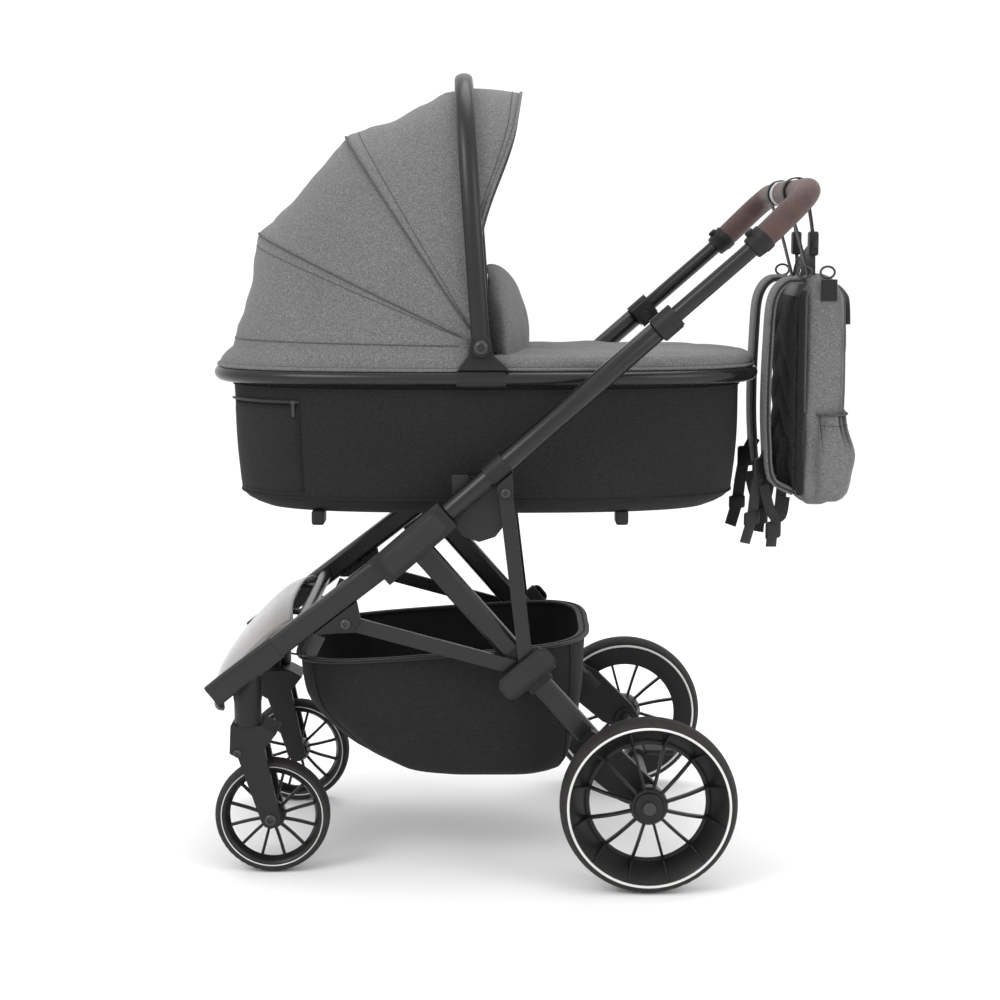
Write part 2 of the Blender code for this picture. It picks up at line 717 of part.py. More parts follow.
def cot_shell():
    """The cot's tub, with the feet that it stands on and a tongue on each side."""
    outside = ((SHELL_TOP, 0), (0.640, 0.004), (0.565, SHELL_TAPER), (0.545, 0.022), (SHELL_LOW, 0.045))
    inside = ((SHELL_LOW + 0.009, 0.050), (0.575, 0.024), (SHELL_TOP, SHELL_WALL))
    outer = [oval(SHELL_HALF[0] - inset, SHELL_HALF[1] - inset * 0.8, z) for z, inset in outside]
    inner = [oval(SHELL_HALF[0] - inset, SHELL_HALF[1] - inset, z) for z, inset in inside]
    shell = open_tub("cot_shell", outer, inner, "black_cloth")
    for x in FOOT_X:
        low = (x - FOOT_HALF[0], -FOOT_HALF[1], FOOT_LOW)
        high = (x + FOOT_HALF[0], FOOT_HALF[1], SHELL_LOW + 0.004)
        combine(shell, round_box(low, high, 0.002, 1), "UNION")
    for side in SIDES.values():
        low_y, high_y = sorted(layer(side, TONGUE_Y))
        low = (TONGUE_X[0], low_y, TONGUE_Z[0])
        high = (TONGUE_X[1], high_y, TONGUE_Z[1])
        combine(shell, round_box(low, high, 0.003, 1), "UNION")
    return shell


def mattress():
    rings = []
    for z, inset in ((0.5450, 0.058), (0.5510, 0.050), (0.5900, 0.040), (0.5960, 0.050)):
        rings.append(oval(SHELL_HALF[0] - inset, SHELL_HALF[1] - inset, z))
    return add_object("mattress", loft(rings), "grey_cloth")


def hood_shell(name, first, last, radius):
    """A curved shell between two bow angles: an arch turned about the hood's axis."""
    arch = []
    half = HOOD_HALF - (HOOD_FRONT[2] - radius)
    for r_out, w in ((radius, half), (radius - HOOD_CLOTH, half - HOOD_CLOTH)):
        line = []
        for i in range(13):
            angle = math.pi * (0.035 + 0.93 * i / 12)
            c, s = math.cos(angle), math.sin(angle)
            line.append((w * math.copysign(abs(c) ** 0.62, -c), r_out * s**0.72))
        arch.append(line)
    profile = arch[0] + arch[1][::-1]
    steps = max(2, round((last - first) / 7))
    rings = []
    for i in range(steps + 1):
        angle = math.radians(first + (last - first) * i / steps)
        rings.append(
            [Vector((HOOD.x + r * math.cos(angle), y, HOOD.y + r * math.sin(angle))) for y, r in profile]
        )
    return add_object(name, loft(rings), "grey_cloth", (HOOD.x, 0, HOOD.y))


def carry_handle():
    """The hood's main bow, which is also the handle that the cot is carried by, with its hubs."""
    along = Vector((math.cos(math.radians(BOW_ANGLE)), math.sin(math.radians(BOW_ANGLE))))
    points = []
    for i in range(21):
        angle = math.pi * i / 20
        c, s = math.cos(angle), math.sin(angle)
        y = BOW_HALF * math.copysign(abs(c) ** 0.60, -c)
        r = BOW_R * s**0.70 if s > 1e-6 else 0.0
        points.append(Vector((HOOD.x + r * along.x, y, HOOD.y + r * along.y)))
    section = [(0.0095 * a, 0.0060 * b) for a, b in circle(1.0, 10)]
    square = (-along.y, 0, along.x)
    origin = (HOOD.x, 0, HOOD.y)
    bow = add_object("carry_handle", sweep(points, section, across=square), "frame", origin)
    for side in SIDES.values():
        spans = (side * 0.2165, side * 0.2300)
        combine(bow, pin(HOOD, spans[0], spans[1], 0.0160, 20), "UNION")
    return bow


def hood_hub(name, side):
    """The bracket on the cot's rim that the hood and the carry handle turn on."""
    outline = [
        (HOOD.x - 0.034, RIM_Z + 0.0128),
        (HOOD.x + 0.040, RIM_Z + 0.0128),
        (HOOD.x + 0.018, HOOD.y - 0.012),
        (HOOD.x + 0.012, HOOD.y + 0.014),
        (HOOD.x - 0.012, HOOD.y + 0.014),
        (HOOD.x - 0.018, HOOD.y - 0.012),
    ]
    return add_object(f"hood_hub_{name}", plate(outline, side * 0.2072, side * 0.2160), "plastic")


def apron():
    """The padded cover over the foot half of the cot, with its raised wind flap."""
    outline = []
    for point in oval(RIM_HALF[0] - 0.006, RIM_HALF[1] - 0.003, 0, 40):
        if point.x > COT_X - 0.002:
            outline.append((point.x, point.y))
    outline.sort(key=lambda p: math.atan2(p[1], p[0] - COT_X))
    low, high = APRON_Z
    rings = []
    for z, inset in ((low, 1.0), (high - 0.006, 1.0), (high, 0.965)):
        rings.append([(COT_X + (x - COT_X) * inset, y * inset, z) for x, y in outline])
    cover = add_object("apron", loft(rings), "grey_cloth")
    combine(cover, plate(FLAP, -FLAP_HALF, FLAP_HALF), "UNION")
    return cover


# ---- Basket and bag -------------------------------------------------------------------------------


def basket_ring(z, x_low, x_high, half, inset, slope):
    """One ring of the basket: a rounded rectangle, which can rise to the rear."""
    points = []
    for i in range(24):
        angle = 2 * math.pi * i / 24
        c, s = math.cos(angle), math.sin(angle)
        x = (x_low + x_high) / 2 + ((x_high - x_low) / 2 - inset) * math.copysign(abs(c) ** 0.5, c)
        y = (half - inset) * math.copysign(abs(s) ** 0.5, s)
        points.append(Vector((x, y, z + slope * (x - x_low))))
    return points


def basket():
    """The open shopping basket between the legs."""
    outer, inner = [], []
    for z, x_low, x_high, half in BASKET:
        slope = HEM_SLOPE if z == BASKET[0][0] else 0.0
        outer.append(basket_ring(z, x_low, x_high, half, 0.0, slope))
        inner.append(basket_ring(z, x_low, x_high, half, BASKET_WALL, slope))
    for point in inner[-1]:
        point.z += BASKET_WALL
    return open_tub("basket", outer, inner[::-1], "black_cloth")


def bag():
    """The changing bag: its body and the wider pocket round its lower half."""
    body = round_box((BAG_X[0], -BAG_HALF, BAG_Z[0]), (BAG_X[1], BAG_HALF, BAG_Z[1]), 0.022, 3)
    bag_body = add_object("bag_body", body, "grey_cloth", (BAR_TOP.x, 0, BAR_TOP.y))
    half = BAG_HALF + POCKET_WIDER
    low = (BAG_X[0] + 0.014, -half, BAG_Z[0] + 0.006)
    high = (BAG_X[1] + POCKET_DEEPER, half, POCKET_TOP)
    combine(bag_body, round_box(low, high, 0.012, 2), "UNION")
    return bag_body


def bag_strap(name, side):
    """A padded shoulder strap down the back of the bag."""
    section = [(0.0300, 0.0045), (-0.0300, 0.0045), (-0.0300, -0.0045), (0.0300, -0.0045)]
    path = [(x, side * STRAP_Y, z) for x, z in STRAP_LINE]
    return add_object(f"bag_strap_{name}", sweep(path, section), "grey_cloth", (BAR_TOP.x, 0, BAR_TOP.y))


def bag_hanger(name, side):
    """A webbing loop from the top of the bag round the handlebar."""
    foot = BAG_Z[1] + 0.0006
    reach = GRIP_R + 0.0022
    line = [(HANGER_X + 0.002, foot), (HANGER_X, 0.940)]
    for degrees in (-20, 20, 60, 100, 140, 180, 220):
        angle = math.radians(degrees)
        line.append((BAR_TOP.x + reach * math.cos(angle), BAR_TOP.y + reach * math.sin(angle)))
    line += [(HANGER_X - 0.024, 0.950), (HANGER_X - 0.006, foot)]
    section = [(0.0125, 0.0010), (-0.0125, 0.0010), (-0.0125, -0.0010), (0.0125, -0.0010)]
    path = [(x, side * HANGER_Y, z) for x, z in line]
    return add_object(f"bag_hanger_{name}", sweep(path, section), "black_cloth", (BAR_TOP.x, 0, BAR_TOP.y))


def centre_on_origin():
    """Shifts everything so that the whole object's box is centred on the origin."""
    for obj in bpy.data.objects:
        obj.location.x -= CENTRE_X


def build():
    clear_scene()
    wheels()
    for name, side in SIDES.items():
        caster_fork(name, side)
        caster_housing(name, side)
        front_leg(name, side)
        rear_leg(name, side)
        link_bracket(name, side)
        bored_bar(f"side_link_{name}", LINK_PIN, SLIDER_PIN, 0.0105, LINK_Y, side)
        bored_bar(f"strut_{name}", STRUT_PIN, SLIDER_PIN, 0.0105, STRUT_Y, side)
        lower_hinge_cover(name, side)
        upper_hinge_cover(name, side)
        outer_tube(name, side)
        height_clip(name, side)
        strut_bracket(name, side)
        cot_adapter(name, side)
        rear_casting(name, side)
        hood_hub(name, side)
        bag_strap(name, side)
        bag_hanger(name, side)
    footboard()
    rear_axle()
    brake_pedal()
    handlebar()
    grip()
    cot_shell()
    cot_rim()
    mattress()
    hood_shell("hood_rear", *HOOD_REAR)
    hood_shell("hood_mid", *HOOD_MID)
    hood_shell("hood_front", *HOOD_FRONT)
    carry_handle()
    apron()
    basket()
    bag()
    centre_on_origin()


build()
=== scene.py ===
"""The looks of the baby stroller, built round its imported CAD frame.

Metres, +Z up, front at -X, left side at -Y. The main places come from the boxes and joints of the frame.
"""

import json
from math import acos, copysign, cos, pi, radians, sin

import bmesh
import bpy
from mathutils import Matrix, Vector, noise

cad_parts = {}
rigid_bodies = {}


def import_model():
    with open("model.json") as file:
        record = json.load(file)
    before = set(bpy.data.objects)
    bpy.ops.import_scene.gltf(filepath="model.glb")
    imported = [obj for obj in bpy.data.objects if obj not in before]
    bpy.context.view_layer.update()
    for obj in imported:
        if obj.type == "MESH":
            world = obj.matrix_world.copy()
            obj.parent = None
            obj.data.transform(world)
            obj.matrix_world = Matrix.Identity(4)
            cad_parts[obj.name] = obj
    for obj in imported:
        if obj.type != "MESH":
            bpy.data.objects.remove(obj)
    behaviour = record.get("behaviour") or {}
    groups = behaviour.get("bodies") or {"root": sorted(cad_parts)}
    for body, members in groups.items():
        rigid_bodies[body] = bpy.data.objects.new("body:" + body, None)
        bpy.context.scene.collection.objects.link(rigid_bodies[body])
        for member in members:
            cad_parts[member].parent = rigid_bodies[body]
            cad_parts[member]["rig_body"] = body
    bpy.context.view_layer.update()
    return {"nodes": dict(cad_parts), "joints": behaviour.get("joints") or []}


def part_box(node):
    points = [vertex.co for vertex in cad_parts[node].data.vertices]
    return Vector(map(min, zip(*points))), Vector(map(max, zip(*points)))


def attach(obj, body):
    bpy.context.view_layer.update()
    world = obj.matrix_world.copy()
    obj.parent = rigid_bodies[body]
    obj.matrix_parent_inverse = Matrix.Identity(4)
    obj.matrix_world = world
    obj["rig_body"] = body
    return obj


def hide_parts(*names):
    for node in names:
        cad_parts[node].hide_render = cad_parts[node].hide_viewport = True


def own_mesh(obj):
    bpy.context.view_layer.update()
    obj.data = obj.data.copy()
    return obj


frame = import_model()
SIDES = {"left": -1.0, "right": 1.0}
JOINTS = {joint["name"]: joint for joint in frame["joints"]}


def pivot(joint):
    """Where a joint turns."""
    return Vector(JOINTS[joint]["pos_m"])


FOLD = pivot("frame_fold")
HOOD = pivot("hood_fold")
BAR = pivot("bag_swing")
HANDLE_TILT = radians(41.1)
COVER_TILT = radians(40.0)
FRONT_TILT = radians(217.5)
ORIGIN_X = HOOD.x + 0.027  # where x was 0 in the drawing that the plain measures come from
STRAP_Y = 0.085
LEG_DEPTH = 0.034
FACET_ANGLE = 32  # degrees: a sharper edge than this stays an edge
CAMERA_PLACE = (ORIGIN_X, -3.0897, 0.9426)
CAMERA_DIP = radians(7.548)
RIM_LOW, RIM_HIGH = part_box("cot_rim")
RIM_X = (RIM_LOW.x + RIM_HIGH.x) / 2
RIM_Z = (RIM_LOW.z + RIM_HIGH.z) / 2
RIM_TOP = RIM_HIGH.z
RIM_HALF_X = (RIM_HIGH.x - RIM_LOW.x) / 2 - 0.012
RIM_HALF_Y = (RIM_HIGH.y - RIM_LOW.y) / 2 - 0.012
COT_POWER = 2.8  # squareness of the carrycot's outline: 2 would be an ellipse


# ---- Materials ------------------------------------------------------------------------------------


class Nodes:
    """A short way to write a material's node tree."""

    def __init__(self, name, colour, roughness, metallic=0.0, **sockets):
        self.material = bpy.data.materials.new(name)
        self.material.use_nodes = True
        self.tree = self.material.node_tree
        self.shader = self.tree.nodes["Principled BSDF"]
        self.shader.inputs["Base Color"].default_value = (*colour, 1)
        self.shader.inputs["Roughness"].default_value = roughness
        self.shader.inputs["Metallic"].default_value = metallic
        for socket, value in sockets.items():
            self.shader.inputs[socket.replace("_", " ")].default_value = value
        self.coordinates = self.add("ShaderNodeTexCoord").outputs["Object"]

    def add(self, kind, inputs=None, **settings):
        node = self.tree.nodes.new(kind)
        for key, value in settings.items():
            setattr(node, key, value)
        for key, value in (inputs or {}).items():
            if isinstance(value, bpy.types.NodeSocket):
                self.tree.links.new(value, node.inputs[key])
            else:
                node.inputs[key].default_value = value
        return node

    def stretched(self, scale):
        return self.add("ShaderNodeMapping", {"Vector": self.coordinates, "Scale": scale}).outputs["Vector"]

    def noise(self, scale, detail=2.0, stretch=None, rough=0.5):
        vector = self.stretched(stretch) if stretch else self.coordinates
        inputs = {"Vector": vector, "Scale": scale, "Detail": detail, "Roughness": rough}
        return self.add("ShaderNodeTexNoise", inputs).outputs["Fac"]

    def wave(self, scale, direction, distortion=0.4):
        inputs = {"Vector": self.coordinates, "Scale": scale, "Distortion": distortion, "Detail": 1.0}
        return self.add("ShaderNodeTexWave", inputs, bands_direction=direction).outputs["Fac"]

    def ramp(self, factor, stops):
        node = self.add("ShaderNodeValToRGB", {"Fac": factor})
        while len(node.color_ramp.elements) < len(stops):
            node.color_ramp.elements.new(0.5)
        for element, (place, colour) in zip(node.color_ramp.elements, stops):
            element.position = place
            element.color = (*colour, 1)
        return node.outputs["Color"]

    def math(self, operation, a, b):
        return self.add("ShaderNodeMath", {0: a, 1: b}, operation=operation).outputs[0]

    def mix(self, factor, a, b, blend="MIX"):
        node = self.add("ShaderNodeMix", data_type="RGBA", blend_type=blend)
        for socket, value in ((node.inputs["Factor"], factor), (node.inputs[6], a), (node.inputs[7], b)):
            if isinstance(value, bpy.types.NodeSocket):
                self.tree.links.new(value, socket)
            else:
                socket.default_value = value
        return node.outputs[2]

    def colour(self, socket):
        self.tree.links.new(socket, self.shader.inputs["Base Color"])

    def roughness(self, factor, low, high):
        node = self.add("ShaderNodeMapRange", {"Value": factor, "To Min": low, "To Max": high})
        self.tree.links.new(node.outputs["Result"], self.shader.inputs["Roughness"])

    def bump(self, height, distance, strength=1.0):
        node = self.add("ShaderNodeBump", {"Height": height, "Distance": distance, "Strength": strength})
        self.tree.links.new(node.outputs["Normal"], self.shader.inputs["Normal"])
        return self.material


def painted(name, colour, roughness):
    """Powder coat: an even satin skin with a very fine orange peel."""
    m = Nodes(name, colour, roughness, Specular_IOR_Level=0.34, Coat_Weight=0.06, Coat_Roughness=0.25)
    patch = m.noise(9, 3)
    dark = tuple(0.8 * c for c in colour)
    m.colour(m.ramp(patch, [(0.35, dark), (0.65, colour)]))
    m.roughness(m.noise(60, 3), roughness - 0.05, roughness + 0.07)
    return m.bump(m.noise(1400, 2), 0.0002, 0.25)


def moulded(name, colour, roughness, grain=0.0004):
    """Moulded plastic with a spark-eroded grain."""
    m = Nodes(name, colour, roughness, Specular_IOR_Level=0.28)
    patch = m.noise(14, 3)
    dark = tuple(0.82 * c for c in colour)
    m.colour(m.ramp(patch, [(0.35, dark), (0.65, colour)]))
    m.roughness(m.noise(120, 2), roughness - 0.06, roughness + 0.08)
    return m.bump(m.noise(1100, 3), grain, 0.35)


def rubber():
    m = Nodes("tyre_rubber", (0.016, 0.014, 0.0135), 0.78, Specular_IOR_Level=0.35)
    dust = m.noise(38, 4)
    m.colour(m.ramp(dust, [(0.35, (0.013, 0.0115, 0.011)), (0.7, (0.024, 0.021, 0.02))]))
    m.roughness(dust, 0.68, 0.88)
    return m.bump(m.noise(900, 3), 0.0004, 0.4)


def leather():
    m = Nodes("grip_leather", (0.075, 0.035, 0.03), 0.5, Specular_IOR_Level=0.45, Sheen_Weight=0.05)
    cells = m.add(
        "ShaderNodeTexVoronoi", {"Vector": m.coordinates, "Scale": 520.0}, feature="DISTANCE_TO_EDGE"
    )
    pores = m.add("ShaderNodeMapRange", {"Value": cells.outputs["Distance"], "From Max": 0.16})
    patch = m.noise(45, 4)
    base = m.ramp(patch, [(0.3, (0.055, 0.024, 0.021)), (0.72, (0.1, 0.05, 0.043))])
    m.colour(m.mix(pores.outputs["Result"], (0.035, 0.016, 0.014, 1), base))
    m.roughness(patch, 0.42, 0.62)
    return m.bump(pores.outputs["Result"], 0.0005, 0.6)


def woven(name, dark, middle, light, pitch, sheen):
    """Woven cloth: crossed yarns of mixed fibres, light and dark, with soft uneven dye."""
    m = Nodes(name, middle, 0.92, Specular_IOR_Level=0.12, Sheen_Weight=sheen, Sheen_Roughness=0.5)
    warp = m.noise(1.0, 2, (260, 260, 1500), 0.6)
    weft = m.noise(1.0, 2, (1500, 900, 300), 0.6)
    fibres = m.math("MULTIPLY", m.math("ADD", warp, weft), 0.5)
    fleck = m.noise(620, 3, rough=0.7)
    mixed = m.math("ADD", m.math("MULTIPLY", fibres, 0.6), m.math("MULTIPLY", fleck, 0.4))
    yarn = m.ramp(mixed, [(0.36, dark), (0.5, middle), (0.64, light)])
    dye = m.ramp(m.noise(7, 3), [(0.3, (0.9, 0.9, 0.9)), (0.7, (1.0, 1.0, 1.0))])
    m.colour(m.mix(1.0, yarn, dye, "MULTIPLY"))
    weave = m.math("MAXIMUM", m.wave(pitch, "Z", 0.7), m.wave(pitch, "X", 0.7))
    height = m.math("ADD", m.math("MULTIPLY", weave, 0.5), mixed)
    return m.bump(height, 0.0006, 0.5)


def webbing():
    m = Nodes("webbing", (0.012, 0.012, 0.013), 0.75, Specular_IOR_Level=0.25, Sheen_Weight=0.2)
    ribs = m.wave(420, "DIAGONAL", 0.3)
    m.colour(m.ramp(ribs, [(0.2, (0.007, 0.007, 0.008)), (0.8, (0.02, 0.02, 0.021))]))
    return m.bump(ribs, 0.0005, 0.6)


def quilted_mesh():
    """Open spacer mesh, as on the back of a rucksack."""
    m = Nodes("spacer_mesh", (0.01, 0.01, 0.011), 0.85, Specular_IOR_Level=0.2)
    cells = m.add("ShaderNodeTexVoronoi", {"Vector": m.coordinates, "Scale": 330.0})
    m.colour(
        m.ramp(cells.outputs["Distance"], [(0.15, (0.003, 0.003, 0.003)), (0.55, (0.024, 0.024, 0.025))])
    )
    return m.bump(cells.outputs["Distance"], 0.0012, 0.8)


def floor_material():
    """Plain pale floor."""
    m = Nodes("floor", (0.93, 0.93, 0.93), 0.6, Specular_IOR_Level=0.2)
    m.colour(m.ramp(m.noise(3, 2), [(0.3, (0.925, 0.925, 0.925)), (0.7, (0.935, 0.935, 0.935))]))
    return m.material


M = {
    "paint": painted("satin_black_paint", (0.0085, 0.0085, 0.0092), 0.27),
    "bow_paint": painted("bow_paint", (0.008, 0.008, 0.0086), 0.33),
    "plastic": moulded("dark_grey_plastic", (0.0105, 0.0105, 0.0114), 0.48),
    "panel": moulded("cover_panel_plastic", (0.0165, 0.0165, 0.0177), 0.42, 0.0002),
    "wheel": moulded("wheel_plastic", (0.0085, 0.0085, 0.0092), 0.34, 0.0002),
    "rubber": rubber(),
    "leather": leather(),
    "grey": woven(
        "grey_melange", (0.062, 0.062, 0.064), (0.138, 0.138, 0.141), (0.262, 0.262, 0.266), 560, 0.12
    ),
    "grey_dark": woven(
        "grey_lining", (0.036, 0.036, 0.038), (0.074, 0.074, 0.077), (0.13, 0.13, 0.133), 560, 0.08
    ),
    "black": woven(
        "black_polyester", (0.0095, 0.0094, 0.0096), (0.0185, 0.0183, 0.0187), (0.032, 0.0317, 0.0323), 700,
        0.04
    ),
    "webbing": webbing(),
    "mesh": quilted_mesh(),
    "trim": painted("gunmetal_gloss", (0.2, 0.185, 0.182), 0.16),
    "pale": painted("pale_grey_trim", (0.46, 0.46, 0.47), 0.45),
    "white": moulded("white_ring", (0.72, 0.72, 0.7), 0.4, 0.0001),
    "steel": painted("dark_steel", (0.034, 0.034, 0.036), 0.3),
    "floor": floor_material(),
}


# ---- Mesh helpers ---------------------------------------------------------------------------------


def add(name, bm, finish, body=None, angle=40):
    """Makes an object of a mesh and lets it ride on a body."""
    bmesh.ops.recalc_face_normals(bm, faces=bm.faces)
    mesh = bpy.data.meshes.new(name)
    bm.to_mesh(mesh)
    bm.free()
    mesh.shade_smooth()
    mesh.set_sharp_from_angle(angle=radians(angle))
    obj = bpy.data.objects.new(name, mesh)
    obj.data.materials.append(M[finish])
    bpy.context.scene.collection.objects.link(obj)
    if body:
        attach(obj, body)
    return obj


def grid(rows, wrap=False, loop=False, into=None):
    """Quads between rows of points. wrap joins each row's ends; loop joins the last row to the first."""
    bm = into or bmesh.new()
    made = [[bm.verts.new(point) for point in row] for row in rows]
    count = len(rows[0])
    pairs = list(zip(made, made[1:]))
    if loop:
        pairs.append((made[-1], made[0]))
    for low, high in pairs:
        for i in range(count if wrap else count - 1):
            j = (i + 1) % count
            bm.faces.new((low[i], low[j], high[j], high[i]))
    return bm, made


def loft(rings, loop=False, into=None):
    """A closed skin over rings of points, with its ends filled unless it loops."""
    bm, made = grid(rings, wrap=True, loop=loop, into=into)
    if not loop:
        bm.faces.new(made[0])
        bm.faces.new(made[-1])
    return bm


def circle(radius, count, squash=1.0):
    """Points round a circle about its middle, flattened by squash."""
    turn = 2 * pi / count
    return [(radius * cos(i * turn), squash * radius * sin(i * turn)) for i in range(count)]


def rounded(width, height, corner, steps=4):
    """A rounded rectangle, as points about its middle."""
    points = []
    for sa, sb, first in ((1, 1, 0), (-1, 1, 90), (-1, -1, 180), (1, -1, 270)):
        for i in range(steps + 1):
            angle = radians(first + 90 * i / steps)
            a = sa * (width / 2 - corner) + corner * cos(angle)
            b = sb * (height / 2 - corner) + corner * sin(angle)
            points.append((a, b))
    return points


def sweep(path, section, across=(0, 1, 0), loop=False, into=None, sizes=None):
    """Sweeps a section along a path, carrying its sideways direction along."""
    path = [Vector(point) for point in path]
    last = len(path) - 1
    side = Vector(across)
    rings = []
    for i, point in enumerate(path):
        before = path[i - 1] if i or loop else point
        after = path[(i + 1) % len(path)] if i < last or loop else point
        along = (after - before).normalized()
        side = (side - side.dot(along) * along).normalized()
        up = side.cross(along)
        k = sizes[i] if sizes else 1.0
        rings.append([point + k * a * side + k * b * up for a, b in section])
    return loft(rings, loop, into)


def catmull(a, b, c, d, t):
    """The point at t from b to c on the curve through four points."""
    return 0.5 * (2 * b + (c - a) * t + (2 * a - 5 * b + 4 * c - d) * t * t + (3 * b - a - 3 * c + d) * t**3)


def smooth_path(points, steps=6):
    """A Catmull-Rom curve through the points."""
    points = [Vector(p) for p in points]
    padded = [2 * points[0] - points[1], *points, 2 * points[-1] - points[-2]]
    line = []
    for a, b, c, d in zip(padded, padded[1:], padded[2:], padded[3:]):
        line += [catmull(a, b, c, d, i / steps) for i in range(steps)]
    line.append(points[-1])
    return line


def turned(profile, centre, axis=(0, 1, 0), count=64, into=None):
    """Turns a closed profile of (distance along the axis, radius) points."""
    axis = Vector(axis).normalized()
    side = Vector((1, 0, 0)) if abs(axis.y) > 0.99 else axis.orthogonal().normalized()
    up = axis.cross(side)
    rings = []
    for i in range(count):
        angle = 2 * pi * i / count
        out = cos(angle) * side + sin(angle) * up
        rings.append([Vector(centre) + along * axis + radius * out for along, radius in profile])
    return loft(rings, loop=True, into=into)


def rod(start, end, radius, count=24, into=None, bevel=0.0):
    """A straight round bar, with its ends drawn in where it has a bevel."""
    start, end = Vector(start), Vector(end)
    along = (end - start).normalized()
    across = (1, 0, 0) if abs(along.y) > 0.5 else (0, 1, 0)
    if not bevel:
        return sweep([start, end], circle(radius, count), across, into=into)
    path = [start, start + bevel * along, end - bevel * along, end]
    shrunk = (radius - bevel) / radius
    return sweep(path, circle(radius, count), across, into=into, sizes=[shrunk, 1, 1, shrunk])


def box_between(low, high, bevel, steps=2, into=None):
    """A bevelled box between two corners."""
    bm = into or bmesh.new()
    made = bmesh.ops.create_cube(bm, size=1)["verts"]
    low, high = Vector(low), Vector(high)
    bmesh.ops.scale(bm, verts=made, vec=high - low)
    bmesh.ops.translate(bm, verts=made, vec=(high + low) / 2)
    edges = list({edge for vert in made for edge in vert.link_edges})
    bmesh.ops.bevel(bm, geom=edges, offset=bevel, segments=steps, affect="EDGES", profile=0.5)
    return bm


def block(centre, half, bevel, steps, into):
    """A bevelled box about its middle."""
    box_between(centre - Vector(half), centre + Vector(half), bevel, steps, into)


def in_plane(start, angle, distance, drop=0.0):
    """The (x, z) place at a distance along a line in the XZ plane, moved square to it by drop."""
    c, s = cos(angle), sin(angle)
    return start.x + distance * c + drop * s, start.z + distance * s - drop * c


def with_modifier(obj, kind, **settings):
    """Adds a modifier with these settings."""
    modifier = obj.modifiers.new(kind.lower(), kind)
    for key, value in settings.items():
        setattr(modifier, key, value)
    return obj


def smoother(obj):
    """Smooths a soft piece."""
    return with_modifier(obj, "SUBSURF", levels=1, render_levels=1)


def sheeted(obj, thickness, offset=-1.0):
    """Gives an open surface its thickness, with its edges closed."""
    return with_modifier(obj, "SOLIDIFY", thickness=thickness, offset=offset, use_even_offset=True)


def refined(node, finish, bevel=0.0012):
    """A copy of a CAD node with its flat facets merged and its edges rounded."""
    source = frame["nodes"][node]
    bm = bmesh.new()
    bm.from_mesh(source.data)
    bmesh.ops.remove_doubles(bm, verts=bm.verts, dist=1e-5)
    bmesh.ops.dissolve_limit(bm, angle_limit=radians(1.0), verts=bm.verts, edges=bm.edges)
    obj = add(f"{node}_shape", bm, finish, source["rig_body"], FACET_ANGLE)
    with_modifier(
        obj, "BEVEL", width=bevel, segments=2, limit_method="ANGLE", angle_limit=radians(FACET_ANGLE)
    )
    obj.modifiers["bevel"].harden_normals = False
    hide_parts(node)


def wobble(point, scale, size, seed=0.0):
    """A smooth random offset, the same on each run."""
    where = Vector(point) * scale + Vector((seed, 1.7 * seed, -seed))
    return size * noise.noise(where)


def screw(name, centre, y_sign, body, radius=0.0062):
    """A flanged button screw with a round socket, facing out sideways."""
    bm = bmesh.new()
    profile = [(0, 0.0004), (0, 1.0), (0.3, 1.0), (0.52, 0.8), (0.6, 0.5), (0.2, 0.42), (0.2, 0.0004)]
    axis = (0, y_sign, 0)
    turned([(a * radius, r * radius) for a, r in profile], centre, axis, 24, bm)
    return add(name, bm, "steel", body)


# ---- Wheels ---------------------------------------------------------------------------------------


